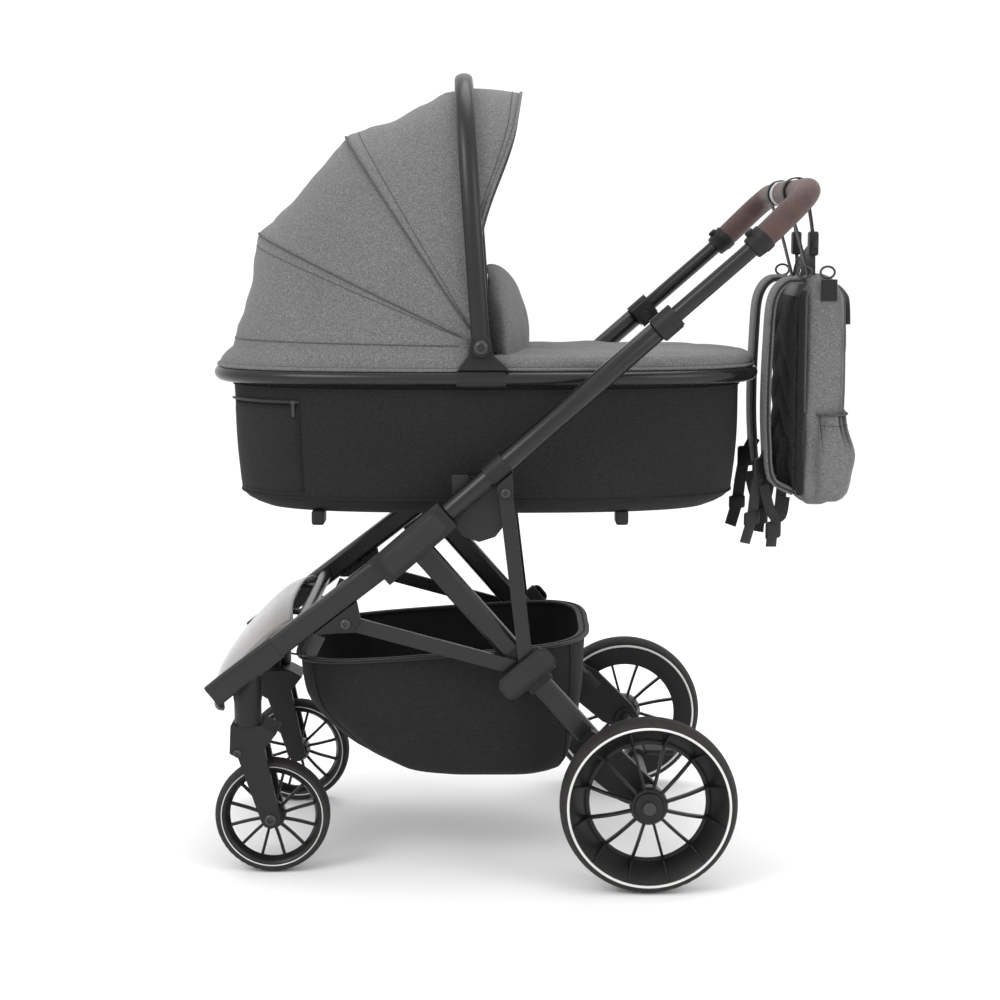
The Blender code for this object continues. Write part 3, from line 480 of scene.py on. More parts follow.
def wheel(kind, name, side):
    """Tyre with tread, white ring, dished rim, twelve blade spokes and a stepped hub."""
    body = f"{kind}_wheel_{name}"
    low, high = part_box(f"{kind}_tyre_{name}")
    centre = (low + high) / 2
    radius = (high.z - low.z) / 2
    half = (high.y - low.y) / 2
    tread = bmesh.new()
    count = 144
    inner = 0.895 * radius
    rings = []
    for i in range(count):
        angle = 2 * pi * i / count
        notch = 0.0 if i % 3 else 0.0016
        ring = []
        for k in range(15):
            t = pi * k / 14
            swell = (radius - inner) * sin(t) ** 0.62
            dent = notch if 3 <= k <= 4 or 10 <= k <= 11 else 0.0
            dent += 0.0012 if k == 7 else 0.0
            r = inner + max(swell - dent, 0)
            y = -half * cos(t)
            ring.append(centre + Vector((r * cos(angle), y, r * sin(angle))))
        rings.append(ring)
    loft(rings, loop=True, into=tread)
    tyre = add(f"tyre_{kind}_{name}", tread, "rubber", body, 50)
    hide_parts(f"{kind}_tyre_{name}")
    band = [
        (-0.86, 0.893), (-0.8, 0.84), (-0.6, 0.8), (0.1, 0.74), (0.62, 0.8), (0.8, 0.84), (0.86, 0.893),
        (0.8, 0.896), (-0.8, 0.896),
    ]
    dish = [
        (-0.86, 0.893), (-0.86, 0.7), (-0.8, 0.655), (-0.7, 0.66), (-0.72, 0.7), (0.72, 0.865), (0.86, 0.893),
    ]
    profile = dish if kind == "rear" else band
    rim = bmesh.new()
    turned([(side * y * half, r * radius) for y, r in profile], centre, (0, 1, 0), 72, rim)
    hub_r = (0.215 if kind == "rear" else 0.23) * radius
    bore = 0.0068
    hub = [
        (-0.95, bore), (-0.95, hub_r * 0.8), (-0.4, hub_r), (0.45, hub_r), (0.62, hub_r * 0.92),
        (0.62, hub_r * 0.78), (0.8, hub_r * 0.74), (0.88, hub_r * 0.62), (0.88, bore),
    ]
    turned([(side * y * half, r) for y, r in hub], centre, (0, 1, 0), 48, rim)
    wheel_rim = add(f"rim_{kind}_{name}", rim, "wheel", body, 40)
    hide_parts(f"{kind}_rim_{name}")
    spokes = bmesh.new()
    for i in range(12):
        angle = radians(15 + 30 * i)
        ray = Vector((cos(angle), 0, sin(angle)))
        end_r = 0.7 if kind == "rear" else 0.79
        start = centre + 0.9 * hub_r * ray + Vector((0, side * half * 0.36, 0))
        middle = centre + 0.45 * radius * ray + Vector((0, side * half * 0.05, 0))
        end = centre + end_r * radius * ray + Vector((0, -side * half * (0.62 if kind == "rear" else 0.0), 0))
        wide = 0.011 if kind == "rear" else 0.0085
        section = rounded(wide, 0.0042, 0.0018, 3)
        sweep(smooth_path([start, middle, end], 4), section, into=spokes)
        if kind == "rear":
            rib_start = centre + 0.66 * radius * ray + Vector((0, -side * half * 0.62, 0))
            rib_end = centre + 0.875 * radius * ray + Vector((0, side * half * 0.74, 0))
            sweep([rib_start, rib_end], rounded(0.004, 0.0034, 0.0012, 2), into=spokes)
    add(f"spokes_{kind}_{name}", spokes, "wheel", body, 40)
    for face in (1, -1):
        ring = bmesh.new()
        r = 0.906 if kind == "rear" else 0.884
        thick = 0.0021 if kind == "rear" else 0.0018
        y = face * (half * (0.985 if kind == "rear" else 0.8) - 0.0006)
        turned([(y + a, r * radius + b) for a, b in circle(thick, 10, 0.9)], centre, (0, 1, 0), 96, ring)
        add(f"white_ring_{kind}_{name}_{'out' if face == side else 'in'}", ring, "white", body, 60)
    cap = bmesh.new()
    turned([
        (side * 0.0, bore), (side * 0.0, 0.0105), (side * 0.003, 0.01), (side * 0.0046, 0.007),
        (side * 0.0046, bore)
    ],
           centre + Vector((0, side * half * 0.86, 0)), (0, 1, 0), 32, cap)
    add(f"hub_cap_{kind}_{name}", cap, "plastic", body, 40)


# ---- Frame ----------------------------------------------------------------------------------------


def frame_parts():
    """The legs, links, brackets and forks, taken from the CAD with softer edges."""
    for node, finish in (
        ("front_leg", "paint"), ("rear_leg", "paint"), ("side_link", "paint"), ("strut", "paint"),
        ("link_bracket", "plastic"), ("fork", "plastic"),
        ("rear_casting", "plastic"), ("lower_hinge_cover", "plastic"), ("upper_hinge_cover", "plastic"),
        ("strut_bracket", "plastic"), ("cot_adapter", "panel"), ("height_clip", "plastic"),
        ("hood_hub", "plastic"),
    ):
        for name in SIDES:
            refined(f"{node}_{name}", finish)
    refined("rear_axle", "steel", 0.0006)
    refined("brake_pedal", "plastic")
    for name, side in SIDES.items():
        leg_end(name, side)


def leg_end(name, side):
    """The lower end of a front leg, and the round caster housing that hangs from it."""
    low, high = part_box(f"caster_housing_{name}")
    leg_low, leg_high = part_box(f"front_leg_{name}")
    y = side * (abs(leg_low.y) + abs(leg_high.y)) / 2
    housing_x = ORIGIN_X - 0.371
    path = []
    for distance, drop in ((0.25, 0.0), (0.29, 0.0), (0.33, 0.0), (0.369, -0.001)):
        x, z = in_plane(FOLD, FRONT_TILT, distance, drop)
        path.append((x, y, z))
    width = abs(leg_high.y - leg_low.y) + 0.0016
    toe = sweep(smooth_path(path, 3), rounded(width, LEG_DEPTH + 0.0016, 0.006, 4))
    add(f"leg_end_{name}", toe, "paint", "front_frame", 40)
    housing = bmesh.new()
    profile = [
        (low.z, 0.0004), (low.z, 0.0182), (low.z + 0.003, 0.02), (0.262, 0.02), (0.268, 0.0212),
        (0.3, 0.0212), (0.304, 0.018), (0.304, 0.0004)
    ]
    turned([(z, r) for z, r in profile], (housing_x, (low.y + high.y) / 2, 0), (0, 0, 1), 48, housing)
    body = add(f"caster_tube_{name}", housing, "plastic", "front_frame", 40)
    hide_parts(f"caster_housing_{name}")


def footboard():
    """The glossy curved footboard that wraps over the front of the legs, and its cross tube."""
    stations = (
        (0.216, 0.03, 0.196), (0.235, 0.035, 0.211), (0.254, 0.037, 0.221), (0.29, 0.034, 0.228),
        (0.335, 0.026, 0.228),
        (0.362, 0.018, 0.224), (0.376, 0.0105, 0.216), (0.385, 0.0015, 0.206), (0.387, -0.0075, 0.198),
        (0.383, -0.0145, 0.191),
    )
    rows = []
    for distance, drop, half in smooth_path([Vector(station) for station in stations], 4):
        row = []
        for k in range(33):
            u = -1 + 2 * k / 32
            fall = 0.019 * abs(u) ** 3
            x, z = in_plane(FOLD, FRONT_TILT, distance, drop - fall)
            row.append(Vector((x, u * half, z)))
        rows.append(row)
    bm, _ = grid(rows)
    board = sheeted(add("footboard_shell", bm, "trim", "front_frame", 60), 0.0045, -1.0)
    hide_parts("footboard")
    x, z = in_plane(FOLD, FRONT_TILT, 0.212)
    add("cross_tube", rod((x, -0.2355, z), (x, 0.2355, z), 0.01, 28), "paint", "front_frame", 40)
    ribs = bmesh.new()
    for y in (-0.11, 0.11):
        path = [
            (*in_plane(FOLD, FRONT_TILT, distance, drop), y) for distance,
            drop in ((0.212, 0.004), (0.226, 0.016), (0.246, 0.028))
        ]
        sweep([(x, y, z) for x, z, y in path], rounded(0.02, 0.007, 0.002, 2), into=ribs)
    add("footboard_lugs", ribs, "plastic", "front_frame", 40)


def cover_panels():
    """The inset panels on the faces of the hinge covers."""
    for node, centre, tilt, length, width, body in (
        ("upper", FOLD, HANDLE_TILT, 0.104, 0.032, "handle_frame"),
        ("lower", None, COVER_TILT, 0.086, 0.027, "sliders"),
    ):
        for name, side in SIDES.items():
            low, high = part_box(f"{node}_hinge_cover_{name}")
            face = low.y if side < 0 else high.y
            middle = Vector((0, 0, 0))
            if centre is None:
                middle = Vector(((low.x + high.x) / 2, 0, (low.z + high.z) / 2))
            else:
                x, z = in_plane(centre, tilt, 0.0025)
                middle = Vector((x, 0, z))
            for kind, grow, y_low, y_high, finish in (
                ("rim", 0.0024, -0.0012, 0.0012, "plastic"),
                ("panel", -0.0012, -0.0012, 0.0018, "panel"),
            ):
                outline = rounded(length + 2 * grow, width + 2 * grow, 0.007 + grow, 5)
                rings = []
                for y, shrink in ((y_low, 0), (y_high - 0.0007, 0), (y_high, 0.0009)):
                    ring = []
                    for a, b in outline:
                        a -= copysign(shrink, a)
                        b -= copysign(shrink, b)
                        x, z = in_plane(middle, tilt, a, b)
                        ring.append((x, face + side * y, z))
                    rings.append(ring)
                add(f"{node}_cover_{kind}_{name}", loft(rings), finish, body, 40)


def tubes():
    """The handle's round tubes with their end rings, and the catches inside them."""
    along = Vector((cos(HANDLE_TILT), 0, sin(HANDLE_TILT)))
    for name, side in SIDES.items():
        low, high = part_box(f"handle_tube_{name}")
        y = (low.y + high.y) / 2
        x, z = in_plane(FOLD, HANDLE_TILT, 0.068)
        wall = [(0, 0.0126), (0, 0.014), (0.001, 0.015), (0.424, 0.015), (0.425, 0.0142), (0.425, 0.0126)]
        tube = add(
            f"outer_tube_{name}", turned(wall, (x, y, z), along, 48), "paint", "handle_frame", 40
        )
        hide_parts(f"handle_tube_{name}")
        x, z = in_plane(FOLD, HANDLE_TILT, 0.4905)
        ring = [
            (0, 0.0153), (0, 0.0168), (0.001, 0.0176), (0.0062, 0.0176), (0.0075, 0.0162),
            (0.0075, 0.0122), (0.0045, 0.0122), (0.0045, 0.0153),
        ]
        add(f"tube_ring_{name}", turned(ring, (x, y, z), along, 48), "steel", "handle_frame", 35)
        catch = bmesh.new()
        x, z = in_plane(FOLD, HANDLE_TILT, 0.477, 0.008)
        rod((x, side * 0.2235, z), (x, side * 0.2195, z), 0.0085, 24, catch, 0.0012)
        add(f"height_button_{name}", catch, "panel", "handle_frame", 35)


def handle_line():
    """Half of the handlebar's centre line, from inside the left outer tube to the bar's middle."""
    top = Vector((BAR.x, 0, BAR.z))
    x, z = in_plane(FOLD, HANDLE_TILT, 0.3)
    kx, kz = in_plane(FOLD, HANDLE_TILT, 0.64)
    half = 0.245
    knee = Vector((kx, -half, kz))
    rise = (Vector((top.x, -half, top.z)) - knee).normalized()
    points = [Vector((x, -half, z))]
    along = Vector((cos(HANDLE_TILT), 0, sin(HANDLE_TILT)))
    points += [knee - 0.018 * along, knee + 0.25 * 0.018 * (rise - along), knee + 0.018 * rise]
    corner = 0.05
    start = Vector((top.x, -half, top.z)) - corner * rise
    for i in range(12):
        angle = radians(90 * i / 11)
        points.append(start + corner * sin(angle) * rise + Vector((0, corner * (1 - cos(angle)), 0)))
    return points


def mirrored(points):
    """Half a line, then its other half the other way round."""
    return points + [Vector((p.x, -p.y, p.z)) for p in reversed(points)]


def handle():
    bar = add("bar", sweep(mirrored(handle_line()), circle(0.0118, 32)), "paint", "handlebar", 40)
    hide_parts("handlebar")
    line = handle_line()[3:]
    whole = mirrored(line)
    lengths = [0.0]
    for a, b in zip(whole, whole[1:]):
        lengths.append(lengths[-1] + (b - a).length)
    dense = []
    steps = 150
    for i in range(steps + 1):
        want = lengths[-1] * i / steps
        k = max(j for j in range(len(lengths)) if lengths[j] <= want + 1e-9)
        k = min(k, len(whole) - 2)
        t = (want - lengths[k]) / max(lengths[k + 1] - lengths[k], 1e-9)
        dense.append(whole[k].lerp(whole[k + 1], t))
    sizes = [1.0 + 0.01 * noise.noise(Vector((0.9 * i, 0, 0))) for i in range(len(dense))]
    section = circle(0.0178, 28)
    sleeve = add("leather_grip", sweep(dense, section, sizes=sizes), "leather", "handlebar", 60)
    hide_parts("grip")
    stitches = bmesh.new()
    for i in range(4, steps - 3):
        a, b = dense[i], dense[i + 1]
        along = (b - a).normalized()
        under = Vector((0.72, 0, -0.69)) * 0.0178
        for shift in (-0.0016, 0.0016):
            start = a.lerp(b, 0.12) + under + Vector((0.69, 0, 0.72)) * shift
            sweep(
                [start, a.lerp(b, 0.72) + under + Vector((0.69, 0, 0.72)) * shift], circle(0.00055, 5),
                into=stitches
            )
    add("grip_stitches", stitches, "grey_dark", "handlebar", 60)
    for name, side in SIDES.items():
        knee = handle_line()[3]
        at = Vector((knee.x, side * abs(knee.y), knee.z))
        along = (handle_line()[4] - knee).normalized()
        ring = [
            (-0.02, 0.012), (-0.02, 0.015), (-0.0185, 0.0166), (-0.006, 0.0184), (-0.004, 0.0196),
            (0.007, 0.0196), (0.0082, 0.0184), (0.0082, 0.012),
        ]
        add(f"grip_collar_{name}", turned(ring, at, along, 40), "plastic", "handlebar", 35)
        button = bmesh.new()
        up = Vector((-along.z, 0, along.x))
        base = at - 0.006 * along + 0.0165 * up
        rod(base, base + 0.0065 * up, 0.0068, 24, button, 0.0015)
        add(f"fold_button_{name}", button, "plastic", "handlebar", 35)


def hardware():
    """Pivot screws and caps."""
    spots = []
    for name, side in SIDES.items():
        pin_link = pivot("side_link_turn")
        pin_strut = pivot("strut_turn")
        spots += [
            (f"link_screw_{name}", (pin_link.x, side * 0.2528, pin_link.z), side, "front_frame", 0.0075),
            (f"strut_screw_{name}", (pin_strut.x, side * 0.2578, pin_strut.z), side, "handle_frame", 0.0068),
        ]
        low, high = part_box(f"rear_casting_{name}")
        spots.append(
            (
                f"casting_screw_{name}", (low.x + 0.036, side * 0.2478, high.z - 0.03), side, "rear_frame",
                0.0072
            )
        )
        wheel_low, wheel_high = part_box(f"fork_{name}")
        hub = pivot(f"front_wheel_spin_{name}")
        outer = wheel_low.y if side < 0 else wheel_high.y
        spots.append((f"fork_screw_{name}", (hub.x, outer, hub.z), side, f"caster_{name}", 0.0085))
        swivel = pivot(f"caster_swivel_{name}")
        spots.append(
            (
                f"crown_screw_{name}", (swivel.x - 0.012, outer, swivel.z - 0.042), side, f"caster_{name}",
                0.006
            )
        )
        spots.append((f"hood_screw_{name}", (HOOD.x, side * 0.23, HOOD.z), side, "hood_bow", 0.0105))
    for name, centre, side, body, radius in spots:
        screw(name, centre, side, body, radius)


# ---- Carrycot -------------------------------------------------------------------------------------


def oval(half_x, half_y, z, angle):
    """A point of the carrycot's outline. The angle is from +X, in radians."""
    c, s = cos(angle), sin(angle)
    x = half_x * copysign(abs(c) ** (2 / COT_POWER), c)
    y = half_y * copysign(abs(s) ** (2 / COT_POWER), s)
    return Vector((RIM_X + x, y, z))


def oval_ring(half_x, half_y, z, count=120):
    """The whole outline at one height."""
    return [oval(half_x, half_y, z, 2 * pi * i / count) for i in range(count)]


SHELL_HALF_X = 0.386
SHELL_HALF_Y = 0.197


def cot_wall(angle, depth, proud=0.0):
    """A point of the cot's cloth wall. depth runs from 0 at the rim to 1 at the floor's edge."""
    top, low = RIM_Z - 0.008, 0.535
    z = top + (low - top) * depth
    inset = 0.012 * depth**1.5 + 0.034 * max(0.0, (depth - 0.86) / 0.14) ** 2.2 - proud
    point = oval(SHELL_HALF_X - inset, SHELL_HALF_Y - inset * 0.8, z, angle)
    out = Vector((cos(angle), sin(angle), 0))
    fade = sin(pi * min(1.0, depth * 1.05)) if depth < 0.95 else 0.15
    drape = wobble((point.x * 1.0, point.y * 1.2, point.z * 0.5), 9.0, 0.0055, 3.1)
    drape += wobble((point.x, point.y, point.z * 0.35), 26.0, 0.0018, 8.3)
    return point + fade * drape * out


def cot_cloth():
    rows = []
    for i in range(31):
        rows.append([cot_wall(2 * pi * k / 160, i / 30) for k in range(160)])
    inner = []
    for z, inset in ((0.545, 0.052), (0.56, 0.034), (0.6, 0.018), (0.7, 0.008), (RIM_Z - 0.008, 0.006)):
        inner.append(oval_ring(SHELL_HALF_X - inset, SHELL_HALF_Y - inset, z, 160))
    bm, made = grid(rows + inner, wrap=True)
    floor_at = 30
    cut = [
        face for face in bm.faces if all(v in made[floor_at] or v in made[floor_at + 1] for v in face.verts)
    ]
    bmesh.ops.delete(bm, geom=cut, context="FACES_ONLY")
    bm.faces.new(made[floor_at])
    bm.faces.new(made[floor_at + 1])
    for k in range(160):
        j = (k + 1) % 160
        bm.faces.new((made[-1][k], made[-1][j], made[0][j], made[0][k]))
    cloth = add("cot_cloth", bm, "black", "cot", 50)
    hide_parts("cot_shell")
    piping = bmesh.new()
    for depth in (0.885, 0.045):
        sweep(
            [cot_wall(2 * pi * k / 120, depth, 0.0008) for k in range(120)], circle(0.0016, 6), (0, 0, 1),
            True, piping
        )
    for angle in (0.0, pi):
        sweep(
            [cot_wall(angle, 0.04 + 0.84 * i / 16, 0.0006) for i in range(17)], circle(0.0012, 6), (0, 1, 0),
            False, piping
        )
    add("cot_piping", piping, "black", "cot", 60)
    feet = bmesh.new()
    for x in (-0.27, 0.181):
        centre = x + ORIGIN_X
        for y in (-0.135, 0.135):
            box_between(
                (centre - 0.0095, y - 0.022, 0.516), (centre + 0.0095, y + 0.022, 0.538), 0.004, 3, feet
            )
    add("cot_feet", feet, "plastic", "cot", 35)
    tongues = bmesh.new()
    low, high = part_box("cot_adapter_left")
    for side in SIDES.values():
        a, b = sorted((side * 0.184, side * 0.2112))
        box_between((low.x + 0.016, a, 0.563), (high.x - 0.014, b, 0.597), 0.003, 2, tongues)
    add("cot_tongues", tongues, "plastic", "cot", 35)


def cot_rim():
    """The tube round the top of the carrycot, and its sleeves under the hubs."""
    path = oval_ring(RIM_HALF_X, RIM_HALF_Y, RIM_Z, 160)
    section = [(0.0118 * a, 0.0134 * b) for a, b in circle(1.0, 24)]
    rim = add("rim_tube", sweep(path, section, (0, 0, 1), True), "paint", "cot", 60)
    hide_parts("cot_rim")
    for name, side in SIDES.items():
        sleeve = bmesh.new()
        centre = HOOD.x
        y = side * RIM_HALF_Y
        path = [(centre - 0.036 + 0.072 * i / 8, y, RIM_Z) for i in range(9)]
        sizes = [0.94, 1, 1, 1, 1, 1, 1, 1, 0.94]
        sweep(path, rounded(0.0262, 0.0262, 0.007, 4), sizes=sizes, into=sleeve)
        add(f"rim_sleeve_{name}", sleeve, "plastic", "cot", 35)


def pocket():
    """The zipped side pocket at the head of the cot, on the left."""
    first, last = radians(193), radians(232)
    rows = []
    for i in range(15):
        depth = 0.175 + 0.665 * i / 14
        edge = 0.0012 if i in (0, 14) else 0.0034
        row = []
        for k in range(21):
            angle = first + (last - first) * k / 20
            lift = 0.0012 if k in (0, 20) else edge
            row.append(cot_wall(angle, depth, lift + 0.0018 * sin(pi * k / 20) * sin(pi * i / 14)))
        rows.append(row)
    bm, _ = grid(rows)
    sheeted(add("side_pocket", bm, "black", "cot", 60), 0.0016)
    zip_tape = bmesh.new()
    path = [cot_wall(first + (last - first) * k / 30, 0.15, 0.0022) for k in range(31)]
    sweep(path, rounded(0.003, 0.0085, 0.001, 2), (0, 0, 1), False, zip_tape)
    add("pocket_zip_tape", zip_tape, "webbing", "cot", 40)
    teeth = bmesh.new()
    for k in range(90):
        angle = first + (last - first) * (k + 0.5) / 90
        point = cot_wall(angle, 0.15, 0.004)
        block(point, (0.0006, 0.0012, 0.0016), 0.0003, 1, teeth)
    add("pocket_zip_teeth", teeth, "plastic", "cot", 40)
    pull = bmesh.new()
    point = cot_wall(last - 0.02, 0.15, 0.0065)
    block(point, (0.0035, 0.0018, 0.003), 0.001, 2, pull)
    box_between(
        point - Vector((0.0022, 0.0012, 0.021)), point + Vector((0.0022, 0.001, -0.003)), 0.001, 2, pull
    )
    add("pocket_zip_pull", pull, "steel", "cot", 40)


def mattress():
    low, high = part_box("mattress")
    half_x, half_y = (high.x - low.x) / 2, (high.y - low.y) / 2
    rows = []
    for i in range(25):
        t = i / 24
        z = low.z + (high.z - low.z) * 0.5 * (1 - cos(pi * min(1, t * 1.5)))
        shrink = 1.0 if t < 0.6 else 1.0 - (t - 0.6) / 0.4
        bulge = 0.008 * sin(pi * min(1.0, t * 1.6))
        rows.append([
            oval(
                max(0.01, (half_x - 0.008) * shrink + bulge), max(0.006, (half_y - 0.008) * shrink + bulge),
                z, 2 * pi * k / 72
            )
            - Vector((0, 0, 0.004 * (1 - shrink) * (0.5 + 0.5 * cos(30 * shrink))))
            for k in range(72)
        ])
    pad = smoother(add("mattress_pad", loft(rows), "grey", "cot", 60))
    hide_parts("mattress")


# ---- Hood -----------------------------------------------------------------------------------------


HOOD_SHAPE = (
    (78.0, 0.366), (81.5, 0.3715), (86.0, 0.3735), (92.0, 0.3735), (97.5, 0.3712), (103.3, 0.3615),
    (112.4, 0.353), (119.0, 0.359),
    (123.4, 0.3655), (126.5, 0.3622), (134.0, 0.3572), (142.8, 0.3545), (149.5, 0.361), (154.3, 0.3705),
    (158.5, 0.365),
    (165.0, 0.359), (172.0, 0.364), (177.5, 0.374), (182.0, 0.38),
)


def hood_radius(degrees):
    """The hood's radius along its middle: high at the bows, hollow between them."""
    degrees = min(max(degrees, HOOD_SHAPE[0][0]), HOOD_SHAPE[-1][0])
    for (a, ra), (b, rb) in zip(HOOD_SHAPE, HOOD_SHAPE[1:]):
        if degrees <= b:
            t = (degrees - a) / (b - a)
            return ra + (rb - ra) * (1 - cos(pi * t)) / 2
    return HOOD_SHAPE[-1][1]


def hood_point(degrees, u, proud=0.0):
    """A point of the hood cloth: u from -1 at the left hub to +1 at the right one."""
    t = pi * (0.5 + 0.497 * u)
    c, s = cos(t), sin(t)
    y = -(0.204 + proud) * copysign(abs(c) ** 0.62, c)
    middle = max(0.0, 1 - (abs(u) / 0.9) ** 3)
    even = 0.366
    r = (even + (hood_radius(degrees) - even) * (0.25 + 0.75 * middle) + proud) * s**0.72
    angle = radians(degrees)
    return Vector((HOOD.x + r * cos(angle), y, HOOD.z + r * sin(angle)))


def hood_wrinkles(degrees, u):
    """Soft pulls that run out from the hub, and a slack surface between the bows."""
    pulls = wobble((degrees * 0.06, u * 1.1, 0), 1.0, 0.005, 5.0) * (1 - 0.45 * abs(u))
    return pulls + wobble((degrees * 0.16, u * 5.0, 0.3), 1.0, 0.0014, 2.0)


def visor_edge(u):
    """The angle of the hood's front edge: at the bow low down, and well ahead of it at the top."""
    height = sin(pi * (0.5 + 0.497 * u)) ** 0.72
    reach = min(1.0, max(0.0, (height - 0.34) / 0.56))
    return 93.4 - 12.4 * sin(pi / 2 * reach) ** 1.2


def skirt_point(u, t):
    """The hood's cloth below its last bow, from the pivot's height down to the rim."""
    start = hood_point(181.0, u)
    behind = min(1.0, max(0.0, (RIM_X - start.x) / (RIM_HALF_X + 0.0065)))
    turn = acos(behind ** (COT_POWER / 2)) * sin(min(1.0, abs(u) / 0.4) * pi / 2)
    end = oval(RIM_HALF_X + 0.0065, RIM_HALF_Y + 0.005, RIM_TOP + 0.002, pi - copysign(turn, u))
    point = start.lerp(end, t)
    out = Vector((point.x - RIM_X, point.y, 0)).normalized()
    return point + 0.004 * sin(pi * t) * out


HOOD_ACROSS = [copysign(1 - (1 - abs(-1 + 2 * k / 80)) ** 1.25, -1 + 2 * k / 80) for k in range(81)]


def cut_size(rows):
    """The width, length and area that a gridded surface had before it was sewn."""
    def run(points):
        return sum((b - a).length for a, b in zip(points, points[1:]))

    area = 0.0
    for near, far in zip(rows, rows[1:]):
        for k in range(len(near) - 1):
            a, b, c, d = near[k], near[k + 1], far[k + 1], far[k]
            area += 0.5 * (c - a).cross(d - b).length
    return max(run(row) for row in rows), max(run(column) for column in zip(*rows)), area


def hood_sheet(name, body, node, first, last, proud):
    """One panel of hood cloth, wrinkled, with its own thickness."""
    rows = []
    steps = max(6, round((last - first) / 1.6))
    for i in range(steps + 1):
        row = []
        for u in HOOD_ACROSS:
            start = visor_edge(u) if name == "hood_visor" else first
            degrees = start + (last - start) * i / steps
            point = hood_point(degrees, u, proud)
            out = (point - HOOD).normalized()
            row.append(point + hood_wrinkles(degrees, u) * out)
        rows.append(row)
    if name == "hood_back":
        for part in range(1, 9):
            rows.append([skirt_point(u, part / 8) for u in HOOD_ACROSS])
    bm, _ = grid(rows)
    sheet = sheeted(add(name, bm, "grey", body, 70), 0.0016, -1.0)
    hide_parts(node)
    width, length, area = cut_size(rows)


def hood_line(degrees, proud):
    """A line across the hood at one angle, just proud of the cloth, wrinkles included."""
    points = []
    for k in range(81):
        u = 0.985 * (-1 + 2 * k / 80)
        point = hood_point(degrees, u, proud)
        points.append(point + hood_wrinkles(degrees, u) * (point - HOOD).normalized())
    return points


def seam(name, body, points, radius=0.0011, finish="grey_dark"):
    """A thin raised line along the points."""
    return add(name, sweep(points, circle(radius, 6), (0.3, 0.2, 0.9)), finish, body, 60)


def hood():
    hood_sheet("hood_back", "cot", "hood_rear", 121.5, 181.0, 0.0)
    hood_sheet("hood_middle_panel", "hood_middle", "hood_mid", 93.5, 124.0, 0.0022)
    hood_sheet("hood_visor", "hood_bow", "hood_front", 80.0, 96.0, 0.0044)
    seam("seam_rear_bow", "cot", hood_line(154.3, 0.0006), 0.0014)
    seam("seam_rear_bow_low", "cot", hood_line(157.0, 0.0002), 0.0006)
    seam("seam_middle_bow", "hood_middle", hood_line(123.8, 0.0026), 0.0013)
    seam("seam_middle_bow_front", "hood_middle", hood_line(120.6, 0.0024), 0.0006)
    seam("seam_base", "cot", hood_line(179.0, 0.0004), 0.0009)
    edge, stitch = [], []
    for u in HOOD_ACROSS[2:-2]:
        for line, ahead, proud in ((edge, 0.0, 0.0048), (stitch, 2.0, 0.0048)):
            degrees = visor_edge(u) + ahead
            point = hood_point(degrees, u, proud)
            line.append(point + hood_wrinkles(degrees, u) * (point - HOOD).normalized())
    seam("visor_binding", "hood_bow", edge, 0.0026, "grey")
    seam("visor_stitching", "hood_bow", stitch, 0.0006)
    hem = [skirt_point(u, 1.0) for u in HOOD_ACROSS]
    seam("hood_hem", "cot", hem, 0.0032, "grey")
    loops = bmesh.new()
    for u in (-0.93, 0.93):
        point = skirt_point(u, 0.93)
        sweep(smooth_path(
            [
                point + Vector((0.006, 0, -0.002)), point + Vector((0, 0, -0.01)),
                point + Vector((-0.008, 0, -0.004))
            ], 4
        ),
              circle(0.0012, 6), into=loops)
    add("hem_loops", loops, "white", "cot", 60)


def bow():
    """The carrying handle over the hood, with its round hubs."""
    angle = radians(94.0)
    along = Vector((cos(angle), 0, sin(angle)))
    points = []
    for i in range(81):
        t = pi * i / 80
        c, s = cos(t), sin(t)
        y = 0.2225 * copysign(abs(c) ** 0.6, -c)
        r = 0.3925 * s**0.7 if s > 1e-6 else 0.0
        points.append(HOOD + r * along + Vector((0, y, 0)))
    section = [(0.0132 * a, 0.0084 * b) for a, b in circle(1.0, 24)]
    square = (-along.z, 0, along.x)
    arch = add("bow_arch", sweep(points, section, square), "bow_paint", "hood_bow", 60)
    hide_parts("carry_handle")
    for name, side in SIDES.items():
        hub = bmesh.new()
        profile = [(0.2168, 0.0005), (0.2168, 0.016), (0.2275, 0.016), (0.23, 0.0142), (0.23, 0.0005)]
        turned([(side * y, r) for y, r in profile], (HOOD.x, 0, HOOD.z), (0, 1, 0), 40, hub)
        add(f"bow_hub_{name}", hub, "plastic", "hood_bow", 35)


# ---- Apron ----------------------------------------------------------------------------------------


def apron_outline(angle):
    """The outline of the cover on the cot, in line with its rim."""
    return oval(RIM_HALF_X + 0.006, RIM_HALF_Y + 0.003, 0, angle)


